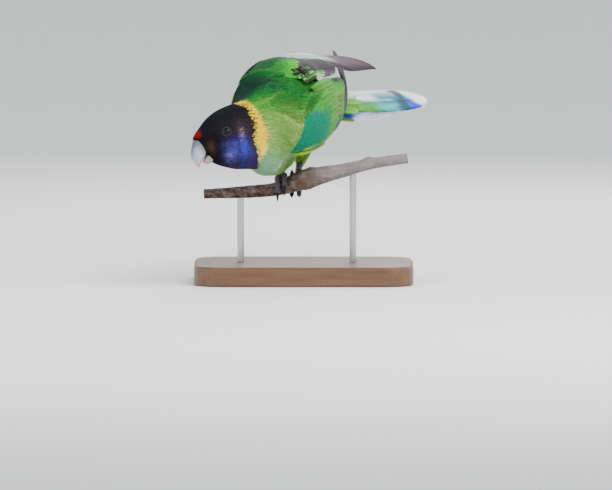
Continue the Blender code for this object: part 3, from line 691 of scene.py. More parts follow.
collarEdges = (  # degrees from the nape, plus to the left: front edge and back edge along the head's x
    (-180, -1.10, -1.05), (-146, -1.12, -1.16), (-118, -1.18, -1.95), (-90, -1.28, -2.05),
    (-62, -1.45, -1.90), (-40, -1.40, -1.50), (-16, -1.16, -1.18), (0, -0.98, -1.22),
    (14, -1.06, -1.62), (28, -1.30, -1.86),
    (41, -1.56, -2.05), (63, -1.54, -2.20), (81, -1.38, -2.24), (98, -1.20, -2.22), (118, -1.20, -2.02),
    (132, -1.18, -1.62), (146, -1.12, -1.16), (180, -1.10, -1.05),
)


def headAngle(head):
    # Degrees round the head from its crown, plus to the left
    z, width, rise, depth = (curveAt(headForm["rows"], head[..., 0])[..., k] for k in range(4))
    up = head[..., 2] - z
    return np.degrees(np.arctan2(head[..., 1] / width, up / np.where(up > 0, rise, depth)))


def spot(value, middle, reach):
    return np.exp(-((value - middle) / reach) ** 2)


waveCells = 64
waveTable = np.random.default_rng(5).uniform(-1, 1, (waveCells, waveCells))


def softNoise(x, y):
    # Smooth random values from -1 to 1 over a plane, one cell a unit
    i, j = np.floor(x).astype(int), np.floor(y).astype(int)
    u, v = smoothStep(x - i), smoothStep(y - j)
    i, j = i % waveCells, j % waveCells
    nextI, nextJ = (i + 1) % waveCells, (j + 1) % waveCells
    near = waveTable[i, j] * (1 - v) + waveTable[i, nextJ] * v
    far = waveTable[nextI, j] * (1 - v) + waveTable[nextI, nextJ] * v
    return near * (1 - u) + far * u


def streaks(along, degrees):
    # Locks of feathers: narrow across the body and long down it
    arc = degrees * 0.055
    arc = arc + softNoise(along * 0.35 + 9, arc * 0.5) * 1.2
    return 0.65 * softNoise(along * 0.45, arc * 2.6) + 0.35 * softNoise(along * 0.9 + 30, arc * 5.5 + 7)


def headTint(x, off, wander, mottle):
    # Colour of the hood by place along the head and degrees from the crown
    x, off = x + wander * 0.07, off + wander * 6
    behindEye = spot(off, 74, 15) * between(x, 0.2, -0.5) * between(x, -1.5, -0.9)
    behindCheek = between(off, 90, 104) * between(off, 132, 118) * between(x, -0.7, -1.0)
    return painted(
        filled(hues["crown"], len(x)), hues,
        ("brow", between(off, 40, 64) * between(x, 1.5, 0.6) * 0.8),
        ("brownGrey", behindEye * (0.75 + 0.4 * mottle)),
        ("pinkish", spot(off, 86, 6) * spot(x, -0.42, 0.16) * 0.8),
        ("lores", spot(off, 80, 26) * between(x, 0.9, 1.3)),
        ("cheek", between(off, 90, 104) * between(x, 1.4, 0.8)),
        # the first, brighter cheek-blue spot is a painted highlight on the blue cheek
        ("cheekBlue", spot(off, 108, 12) * spot(x, -0.2, 0.42) * (0.75 + 0.5 * mottle)),
        ("cheekBlue", spot(off, 126, 22) * spot(x, 0.3, 0.75) * (0.45 + 0.6 * mottle)),
        ("cheekLilac", spot(off, 134, 18) * spot(x, 0.65, 0.4) * (0.45 + 0.7 * mottle)),
        ("cheekDark", spot(off, 146, 12) * spot(x, 0.25, 0.38) * 0.9),
        ("brownGrey", behindCheek * 0.8),
        ("chin", between(off, 150, 168) * between(x, 0.7, 1.3)),
        ("lores", between(x, 1.2, 1.45) * between(off, 96, 112) * 0.85),
        ("bareSkin", spot(off, 108, 16) * spot(x, 1.82, 0.22) * 0.7),
        ("frontal", between(x, 2.10, 2.20) * between(off, 70, 54)),
        ("lores", between(x, 2.50, 2.56)),
    )


def bodyTint(where, rng):
    # Colour at the root of each feather of the neck and body
    along, off, left = where["along"], where["off"], where["turn"] > 0
    wander = rng.normal(0, 1, len(along)) * 0.7
    lock = streaks(along, where["turn"])
    edge = off + wander * 4 + lock * 12
    sidePale = spot(off + wander * 5, 92, 26) * between(along, 2.5, 4.8)
    breastPale = spot(off + wander * 8 + lock * 14, 130, 22) * between(along + lock, 2.6, 6.4)
    breastTeal = between(off + wander * 6 + lock * 12, 104, 122) * between(along, 6.4, 7.4)
    fleck = between(lock, 0.18, 0.55) * spot(off, 62, 34) * between(along, 7.9, 7.2)
    bronze = between(lock, -0.2, -0.6) * spot(off, 60, 30) * between(along, 7.4, 6.6)
    # On the bird's right side the dark nape and the teal reach much further down the neck than on the left, a
    # painted shade on that side
    nape = between(along + wander * 0.2 + lock * 0.4, 4.9, 6.6)
    nape = nape * np.where(left, between(edge, 34, 12), between(edge, 100, 70))
    shoulders = between(along, 3.8, 5.4) * between(edge, 44, 24) * 0.5
    return painted(
        filled(hues["mantle"], len(along)), hues,
        ("side", between(off + wander * 6 + lock * 18, 34, 60) * 0.95),
        ("sidePale", sidePale * (0.45 + 0.5 * lock)),
        ("breast", between(off + wander * 5 + lock * 10, 106, 132) * between(along, 2.0, 4.5)),
        ("breastPale", breastPale * (0.45 + 0.6 * lock)),
        ("breastTeal", breastTeal * 0.8),
        ("belly", between(off, 100, 130) * between(along, 3.2, 0.5)),
        ("vent", between(along + wander * 0.5, -3.0, -6.5) * between(off, 80, 120)),
        ("rump", between(along, -1.0, -4.0) * between(off, 90, 50)),
        ("fleck", fleck * 0.8),
        ("bronze", bronze * 0.6),
        ("nape", np.maximum(nape, shoulders)),
        # on the right side the teal reaches far down the neck as painted shade
        ("teal", between(along, 5.6, 7.4) * np.where(left, between(edge, 26, 4), between(edge, 95, 60))),
    )


def coatTint(row, turn, rng):
    # Root colour of each feather anywhere on the skin, and where each is
    where = bodyCoordinates(row, turn)
    wander = rng.normal(0, 1, len(row))
    head = where["head"]
    turned = headAngle(head)
    off = np.abs(turned)
    tint = bodyTint(where, rng)
    onHead = where["along"] > 6.9
    x = head[:, 0] + wander * 0.018
    front, back = curveAt(collarEdges, turned).T
    mottle = softNoise(head[:, 0] * 4.0 + 3, turned * 0.11) * 0.6
    mottle = mottle + softNoise(head[:, 0] * 9.0, turned * 0.25 + 5) * 0.4
    hood = between(x, front - 0.04, front + 0.04) * onHead
    tint = blendIn(tint, headTint(head[:, 0], off, wander, mottle), hood)
    yellow = painted(
        filled(hues["collar"], len(row)), hues,
        ("collarPale", between(off, 106, 124)),
        ("collarPale", between(off, 26, 8) * 0.7),
        ("collarDeep", between(wander, 1.0, 2.2) * 0.35),
    )
    where["collar"] = between(x, front + 0.03, front - 0.03) * between(x, back - 0.05, back + 0.04) * onHead
    return blendIn(tint, yellow, where["collar"]), where


def vaneTints(tint, stations, rng, paintedShade=0.74, pale=1.12, vary=0.06):
    # Each feather darker at its root, a painted shade where the feathers overlap, and paler at its rim, with
    # its own small change of tone
    count = len(tint)
    share = np.linspace(0, 1, stations)
    # the level at the root is painted shade under the feathers that lie over it
    level = paintedShade + (pale - paintedShade) * share**0.7
    side = np.array([1.04, 0.95, 1.04])
    tone = 1 + rng.normal(0, vary, (count, 1, 1, 1))
    warm = 1 + rng.normal(0, vary * 0.5, (count, 1, 1, 3))
    return tint[:, None, None, :] * level[None, :, None, None] * side[None, None, :, None] * tone * warm


# Skin under the coat
def skinMaterial():
    material, nodes, links, shader = newMaterial("coatSkin", (0.1, 0.2, 0.1), 0.75, specular=0.2)
    grain = noiseNode(nodes, links, objectPlace(nodes), 900.0)
    # The skin shows the coat's colours darkened with grain, a painted shade under the feathers
    paintedShade = mixColours(nodes, links, grain, (0.35, 0.35, 0.35), (0.8, 0.8, 0.8))
    baseColour(nodes, links, shader, attributeNode(nodes, "tint"), paintedShade)
    addBump(nodes, links, shader, grain, 0.6, 0.0004)
    return material


coatSkin = skinMaterial()
skinSeed = 3


def makeSkin():
    # Colours are drawn for one column more than the skin has, and the last one goes unused
    rng = np.random.default_rng(skinSeed)
    row, turn = np.indices((bodyRows, around + 1))
    tint, _ = coatTint(row.ravel().astype(float), turn.ravel() % around + 0.0, rng)
    onRings = tint.reshape(bodyRows, around + 1, 3)[:, :around].reshape(-1, 3)
    tints = np.concatenate([onRings, tint[:1], tint[-1:]])
    points, faces = lofted(body["points"])
    row, turn = np.indices((bodyRows, around))
    patch = np.stack([turn / around, row / bodyRows], -1).reshape(-1, 2) * 0.99 + 0.005
    patch = np.concatenate([patch, [[0.5, 0.002], [0.5, 0.998]]])
    skin = makePiece("skin", points, faces, coatSkin, tints, patch)
    seamUv(skin)
    return skin


def seamUv(piece):
    # Faces that cross the seam of the unwrap use its far edge
    layer = piece.data.uv_layers["OFBake"].data
    for polygon in piece.data.polygons:
        us = [layer[k].uv[0] for k in polygon.loop_indices]
        if max(us) - min(us) > 0.5:
            for k in polygon.loop_indices:
                if layer[k].uv[0] < 0.3:
                    layer[k].uv[0] += 0.99


skin = makeSkin()
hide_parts("torso", "neck", "head")
print("skin ready")


# Body coat: zones along the bird, with the size of feathers in each
coat = {
    "face": {"from": 10.55, "to": 12.86, "count": 14500, "seed": 11, "shape": fineShape},
    "hood": {"from": 9.0, "to": 10.75, "count": 14000, "seed": 12, "shape": fineShape},
    "collar": {"from": 7.4, "to": 9.2, "count": 9500, "seed": 13, "shape": vaneShape},
    "neck": {"from": 5.6, "to": 7.6, "count": 10000, "seed": 14, "shape": vaneShape},
    "mantle": {"from": 3.4, "to": 5.8, "count": 7800, "seed": 15, "shape": vaneShape},
    "back": {"from": -1.5, "to": 3.6, "count": 6500, "seed": 16, "shape": vaneShape},
    "rump": {"from": -8.7, "to": -1.3, "count": 6500, "seed": 17, "shape": vaneShape},
}
featherSizes = (  # place along the bird, length, width, lift of the tip over the skin
    (-8.6, 1.30, 0.42, 0.12), (-3.0, 1.35, 0.42, 0.15), (3.0, 1.20, 0.34, 0.15), (6.0, 1.00, 0.23, 0.13),
    (8.0, 0.74, 0.17, 0.11), (9.0, 0.48, 0.13, 0.07), (10.0, 0.30, 0.10, 0.045), (11.0, 0.21, 0.075, 0.032),
    (12.0, 0.15, 0.055, 0.022), (12.7, 0.10, 0.045, 0.018),
)
eyeForm = {
    "place": (0.45, 1.47, 0.33),
    "radius": 0.40,
    "forward": 14.0,
    "rise": 8.0,
    "bare": 0.345,  # no feather grows nearer to the eye's middle
    "lidRadius": 0.305,
    "lidStand": 0.285,
    "lidSize": 0.048,
    "beads": 34,
    "lidGrid": (72, 14),  # stations round the eye, points round the lid
    "stations": 48,
    "around": 56,
    "iris": shade(13, 7, 6),
    "pupil": (0.003, 0.003, 0.004),
    "rim": shade(14, 12, 14),
}


def eyeFrame(side):
    forward, rise = math.radians(eyeForm["forward"]), math.radians(eyeForm["rise"])
    look = Vector((math.sin(forward), side * math.cos(forward) * math.cos(rise), math.sin(rise)))
    x, y, z = eyeForm["place"]
    turned = look.to_track_quat("Z", "X").to_matrix().to_4x4()
    return headFrame @ Matrix.Translation((x, side * y, z)) @ turned


def nearEye(place):
    # Distance from the nearer eye's line of sight
    distances = []
    for side in (1, -1):
        local = seenFrom(eyeFrame(side), place)
        distances.append(np.where(local[..., 2] > 0, np.hypot(local[..., 0], local[..., 1]), 9.0))
    return np.minimum(*distances)


def wingCover(places, turn, reach=1.5):
    # Height of the folded wing over places on the body, 0 where it isn't over them
    inward = bodyInward(places)
    cover = np.zeros(places.shape[0])
    for k, (place, direction) in enumerate(zip(places, inward)):
        tree = wingSurfaces["left" if turn[k] > 0 else "right"]["tree"]
        hit, _, _, distance = tree.ray_cast(Vector(place - direction * reach), Vector(direction), reach)
        if hit is not None:
            cover[k] = reach - distance
    return cover


def lean(where):
    # Feathers in a lock lean the same way
    broad = softNoise(where["along"] * 0.6 + 4, where["turn"] * 0.035)
    return 0.30 * broad + 0.10 * softNoise(where["along"] * 1.7, where["turn"] * 0.12 + 3)


def tintAlong(row, turn, ahead, rng):
    # The colour at a point part of the way along each feather
    rowLength, = surfaceAt(body, row, turn, "rowLength")
    return coatTint(np.maximum(row - ahead / np.maximum(rowLength, 0.02), 0), turn, rng)


def overWings(lay, length, where, lap=0.3):
    # Lays feathers, with those rooted in front of a wing lifted a short way onto the wing's own surface
    points = lay(length)
    near = np.nonzero((where["along"] > 3.0) & (where["along"] < 9.0) & (where["off"] < 140))[0]
    tips = wingCover(points[near, -1, 1], where["turn"][near])
    near = near[tips > 0]
    if len(near) == 0:
        return points
    stations = points.shape[1]

    def covers(points):
        # Height of the wing over each station of these feathers
        return np.stack([wingCover(points[near, k, 1], where["turn"][near]) for k in range(stations)], axis=1)

    first = (covers(points) > 0).argmax(axis=1)
    length = length.copy()
    length[near] = np.minimum(length[near], length[near] * first / (stations - 1) + lap)
    points = lay(length)
    rise = covers(points)
    rise = np.where(rise > 0, rise + 0.04 + 0.03 * np.arange(stations), 0)
    rise = np.maximum.accumulate(rise, axis=1)
    rise[:, :-1] = np.maximum(rise[:, :-1], rise[:, 1:] * 0.5)
    inward = bodyInward(points[near][:, :, 1])
    points[near] -= (inward * rise[..., None])[:, :, None]
    return points


def bodyInward(places):
    # Towards the middle line of torso and neck
    local = seenFrom(bodyFrame, places)
    inward = np.stack([np.zeros(local.shape[:-1]), -local[..., 1], -0.6 - local[..., 2]], -1)
    return unit(inward) @ np.array(bodyFrame)[:3, :3].T


def makeCoat(name, zone):
    rng = np.random.default_rng(zone["seed"])
    along = body["along"]
    sizes = curveAt(featherSizes, along)
    density = 1 / (sizes[..., 0] * sizes[..., 1]) * ((along >= zone["from"]) & (along < zone["to"]))
    row, turn = scatter(body, zone["count"], density, rng)
    where = bodyCoordinates(row, turn)
    place, = surfaceAt(body, row, turn, "points")
    atBill = (where["along"] > 12.62) & (where["off"] > 60) & (where["head"][:, 2] < 0.1)
    keep = (nearEye(place) > eyeForm["bare"]) & ~atBill
    if -3 < zone["to"] and zone["from"] < 9:
        keep &= wingCover(place, where["turn"]) < 0.05
    row, turn = row[keep], turn[keep]
    count = len(row)
    sizes = curveAt(featherSizes, where["along"][keep])
    tint, where = tintAlong(row, turn, sizes[:, 0] * 0.65, rng)
    short = 1 - 0.35 * where["collar"]
    ragged = between(where["off"], 120, 150) * between(where["along"], 8.5, 6.5)
    length = sizes[:, 0] * rng.normal(1, 0.12, count).clip(0.7, 1.35) * (1 + 0.15 * ragged) * short
    width = sizes[:, 1] * rng.normal(1, 0.12, count).clip(0.7, 1.3) * short
    lift = sizes[:, 2] * rng.uniform(0.45, 1.15, count) * (1 + 0.5 * ragged)
    yaw = lean(where) + rng.normal(0, 0.08 + 0.2 * ragged, count)

    def lay(size):
        return layVanes(body, row, turn, size, width, yaw, lift, zone["shape"])

    points = overWings(lay, length, where)
    tints = vaneTints(tint, points.shape[1], rng)
    piece = coatPiece("coat_" + name, body, row, turn, points, tints, softFeather, rng)


# Wings: the bed that the feathers lie on, as in the solids: x, centre y, centre z, half width, rise
wingForm = {
    "bed": (
        (6.2, -0.15, -0.40, 2.85, 2.70),
        (4.0, 0.05, -0.50, 3.45, 3.20),
        (2.0, 0.05, -0.50, 3.50, 3.12),
        (0.0, 0.05, -0.70, 3.30, 2.68),
        (-2.0, 0.15, -0.90, 2.98, 2.08),
        (-4.0, 0.28, -1.10, 2.55, 1.42),
        (-6.0, 0.40, -1.30, 2.10, 0.95),
        (-9.0, 0.10, -1.40, 2.00, 0.75),
        (-12.5, -0.40, -1.50, 1.90, 0.60),
        (-15.0, -0.60, -1.60, 1.80, 0.50),
    ),
    "tipShift": {"left": -0.7, "right": 0.0},
    "raise": {  # the right wing stands off the rump and lies over the left one
        "left": (
            (-14.0, 0.0), (-9.0, 0.15), (-6.0, 0.60), (-4.0, 0.85),
            (-2.5, 0.75), (-1.0, 0.4), (0.5, 0.1), (2.0, 0.0),
        ),
        "right": (
            (-13.0, 1.60), (-9.0, 1.35), (-6.0, 1.15), (-4.0, 0.90), (-2.0, 0.45), (0.0, 0.05), (2.0, 0.0),
        ),
    },
    "raiseFade": {"left": (0.2, 1.7), "right": (30.0, 1.0)},  # where it starts to fade, over what length
    "tipStart": -4.0,
    "tipSpan": 8.0,
    "xRange": (-15.0, 7.0, 111),
    "acrossRange": (-3.2, 8.2, 58),
    "front": {"left": 6.45, "right": 5.3},
    "mergeLength": 2.0,
    "coreGrid": 44,
    "coreBack": -1.6,
    "coreLow": 5.4,
    "coreDrop": 1.0,
    "coreNose": 1.6,
    "coreHigh": 0.75,
    "coreHeight": ((-1.6, 0.10), (1.0, 0.24), (3.2, 0.36), (4.8, 0.36), (6.0, 0.12)),
    "coreFlat": 0.72,  # share of the solid's height, which leaves room for the coverts
    "coreUnder": -0.2,
    "seed": 41,
}


def arcAngle(distance, width, rise, turns):
    # The angle from the top of an ellipse that an arc of this length reaches
    middle = (turns[1:] + turns[:-1]) / 2
    steps = np.hypot(width * np.cos(middle), rise * np.sin(middle)) * (turns[1] - turns[0])
    return math.copysign(np.interp(abs(distance), np.concatenate([[0], np.cumsum(steps)]), turns), distance)


def wingTable(hand):
    # Places on the wing's bed for a grid of x and of distance round the body, at two heights
    side = sides[hand]
    xs = np.linspace(*wingForm["xRange"])
    spots = np.linspace(*wingForm["acrossRange"])
    turns = np.radians(np.arange(0.0, 202.0, 3.0))
    layers = []
    fade, span = wingForm["raiseFade"][hand]
    for lift in (0.0, 1.0):
        rows = []
        for x in xs:
            y, z, bedWidth, bedRise = curveAt(wingForm["bed"], x)
            raised = curveAt(wingForm["raise"][hand], x)[0] * (1 - smoothStep((spots - fade) / span)) + lift
            width, rise = bedWidth + raised, bedRise + raised
            past = float(smoothStep((wingForm["tipStart"] - x) / wingForm["tipSpan"]))
            reach = spots + wingForm["tipShift"][hand] * past
            angle = np.array([arcAngle(*sizes, turns) for sizes in zip(reach, width, rise)])
            place = (np.full(len(reach), x), y + side * width * np.sin(angle), z + rise * np.cos(angle))
            rows.append(np.stack(place, -1))
        layers.append(placed(bodyFrame, np.array(rows)))
    surface = makeSurface(layers[0], wrap=False)
    surface["up"] = layers[1] - layers[0]
    return surface


wingTables = {hand: wingTable(hand) for hand in sides}


def onWing(hand):
    table = wingTables[hand]
    firstX, lastX, countX = wingForm["xRange"]
    firstAcross, lastAcross, countAcross = wingForm["acrossRange"]

    def at(x, across, lift):
        row = (np.asarray(x) - firstX) / (lastX - firstX) * (countX - 1)
        turn = (np.asarray(across) - firstAcross) / (lastAcross - firstAcross) * (countAcross - 1)
        place, up = surfaceAt(table, row, turn, "points", "up")
        return place + up * np.asarray(lift)[..., None]

    return at


def onTail(x, across, lift):
    local = np.stack(np.broadcast_arrays(-np.asarray(x), across, lift), -1)
    return placed(tailFrame, local)


# Long feathers
outlines = {
    "flight": ((0.0, 0.5), (0.12, 0.78), (0.35, 1.0), (0.7, 0.97), (0.88, 0.78), (0.96, 0.48), (1.0, 0.14)),
    "pointed": ((0.0, 0.5), (0.2, 0.9), (0.42, 1.0), (0.63, 0.92), (0.84, 0.66), (0.95, 0.36), (1.0, 0.08)),
    "tail": ((0.0, 0.5), (0.35, 1.0), (0.7, 0.94), (0.84, 0.78), (0.92, 0.56), (0.97, 0.34), (1.0, 0.10)),
    "covert": ((0.0, 0.7), (0.3, 0.95), (0.6, 1.0), (0.82, 0.86), (0.94, 0.55), (1.0, 0.18)),
}
longVane = {"stations": 22, "columns": 9, "thickness": 0.05, "edge": 0.018, "shaftRise": 0.035}


def layLong(at, feather, rng):
    # One long feather as a closed thin body: points, faces, share along, side across and lay
    stations = feather.get("stations", longVane["stations"])
    columns = longVane["columns"]
    root, tip = np.array(feather["root"], float), np.array(feather["tip"], float)
    bend, width, slope = feather.get("bend", 1.0), feather["width"], feather.get("slope", 0.0)
    shaft = feather.get("shaft", 0.0)
    share = 1 - (1 - np.linspace(0, 1, stations)) ** 1.25
    part = curveAt(outlines[feather.get("outline", "flight")], share)[:, 0]
    notches = 1 - 0.10 * (rng.random(stations) > 0.8) * (share > 0.3)
    stepX = tip[0] - root[0]
    x = root[0] + stepX * share
    across = root[1] + (tip[1] - root[1]) * share**bend
    lift = root[2] + (tip[2] - root[2]) * share
    stepAcross = (tip[1] - root[1]) * bend * np.maximum(share, 0.01) ** (bend - 1)
    length = np.hypot(stepX, stepAcross) * (1 if stepX > 0 else -1)
    outer = np.linspace(-1, shaft - 0.05, columns // 2)
    inner = np.linspace(shaft + 0.05, 1, columns // 2)
    q = np.concatenate([outer, [shaft], inner])
    half = width / 2 * part[:, None] * q
    half = np.where(np.abs(q) > 0.9, half * notches[:, None], half)
    edgeX = x[:, None] - (stepAcross / length)[:, None] * half
    edgeAcross = across[:, None] + (stepX / length)[:, None] * half
    camber = feather.get("camber", 0.05) * width * (1 - q**2) * part[:, None]
    ripple = 0.012 * np.sin(share[:, None] * 9 + rng.uniform(0, 6)) * np.abs(q)
    shaftRise = longVane["shaftRise"] * (np.abs(q - shaft) < 0.01) * (1 - 0.8 * share[:, None])
    top = lift[:, None] + slope * half + camber + ripple + shaftRise
    thick = longVane["edge"] + (longVane["thickness"] - longVane["edge"]) * (1 - q**2) + shaftRise
    points, faces = closedSheet(at(edgeX, edgeAcross, top), at(edgeX, edgeAcross, top - thick))
    shares, across = np.tile(np.repeat(share, columns), 2), np.tile(q, stations * 2)
    spread = np.tile(np.abs(half).ravel(), 2)
    lay = np.stack([abs(stepX) * shares, spread, np.full(len(shares), rng.random())], -1)
    return points, faces, shares, across, lay


def longPiece(name, at, feathers, tintOf, material, seed):
    # One piece from many long feathers, each with its own cell of the unwrap
    rng = np.random.default_rng(seed)
    cells = math.ceil(math.sqrt(len(feathers)))
    parts, start = [], 0
    for number, feather in enumerate(feathers):
        points, faces, share, across, lay = layLong(at, feather, rng)
        tone = 1 + rng.normal(0, 0.05)
        column, line = number % cells, number // cells
        under = (np.arange(len(points)) >= len(points) // 2) * 0.5
        patch = np.stack([
            (column + 0.04 + 0.44 * (across + 1) / 2 + under * 0.96) / cells,
            (line + 0.04 + 0.92 * share) / cells,
        ], -1)
        parts.append((points, faces + start, tintOf(feather, share, across) * tone, patch, lay))
        start += len(points)
    points, faces, tints, patch, lay = (np.concatenate(each) for each in zip(*parts))
    return makePiece(name, points, [faces], material, tints, patch, lay)


wingHues = {
    "primary": shade(26, 15, 22),
    "primaryPale": shade(110, 74, 96),
    "primaryBlue": shade(12, 28, 38),
    "mint": shade(206, 240, 226),
    "green": shade(52, 158, 46),
    "greenPale": shade(84, 158, 20),
    "bronze": shade(106, 126, 30),
    "tealRim": shade(8, 104, 72),
    "turquoise": shade(0, 128, 96),
    "emerald": shade(0, 142, 74),
    "yellowGreen": shade(158, 216, 20),
    "mintBand": shade(140, 216, 130),
    "darkBlue": shade(14, 40, 116),
    "darkGreen": shade(0, 80, 30),
    "bright": shade(84, 190, 14),
    "cream": shade(222, 214, 196),
    "dusk": shade(26, 20, 28),
    "paleBlue": shade(58, 96, 150),
}


def flightTint(hand):
    # Gives the function for the colours of one long feather of this wing
    def tintOf(feather, share, across):
        rootX, rootAcross, _ = feather["root"]
        tipX, tipAcross, _ = feather["tip"]
        line = softNoise(across * 4.0 + rootAcross * 7, share * 2.0 + rootX)
        x = rootX + (tipX - rootX) * share
        out = rootAcross + (tipAcross - rootAcross) * share + across * feather["width"] / 2
        base = painted(
            filled(feather["hue"], len(share)), feather,
            ("edge", between(across + line * 0.15, -0.25, -0.7) * feather.get("edgeAmount", 0.8)),
            ("inner", between(across + line * 0.2, 0.05, 0.6) * feather.get("innerAmount", 0.7)),
            ("tipHue", between(share + line * 0.04, 0.78, 0.97) * 0.6),
        )
        if hand == "right":
            start = 2.0 + (x + 1) * 0.14 + line * 0.12
            pale = between(out, start, start + 0.35) * between(x, 1.8, 1.0) * between(x, -7.5, -6.0)
            dusk = spot(out, start - 0.25, 0.22) * between(x, 2.0, 1.0) * between(x, -8, -5)
            base = painted(base, wingHues, ("mint", pale * (0.85 + 0.15 * line)), ("dusk", dusk * 0.8))
        else:
            patch = between(out + line * 0.2, 1.9, 2.3) * between(out, 4.9, 4.5)
            patch = patch * between(x + line * 0.3, 2.9, 3.3)
            teal = between(x, -6.8, -5.2) * between(out, -0.2, 0.5) * (feather.get("outline") == "pointed")
            # dark by the spine towards the back, a painted shadow under the raised far wing
            dusk = between(out + line * 0.1, 0.75, 0.4) * between(x, 0.6, -0.6)
            steps = (("turquoise", patch), ("tealRim", teal * 0.85), ("dusk", dusk * 0.9))
            base = painted(base, wingHues, *steps)
        # Both edges darker, a painted shade between the vanes, and the root half darker, a painted shade
        # under the feathers over it
        base = blendIn(base, base * 0.35, between(np.abs(across), 0.84, 1.0) * 0.6)
        base = base * (0.6 + 0.42 * np.clip(share * 2, 0, 1))[:, None] * (1 + 0.22 * line)[:, None]
        return blendIn(base, wingHues["dusk"], spot(across, feather.get("shaft", 0.0), 0.05) * 0.7)

    return tintOf


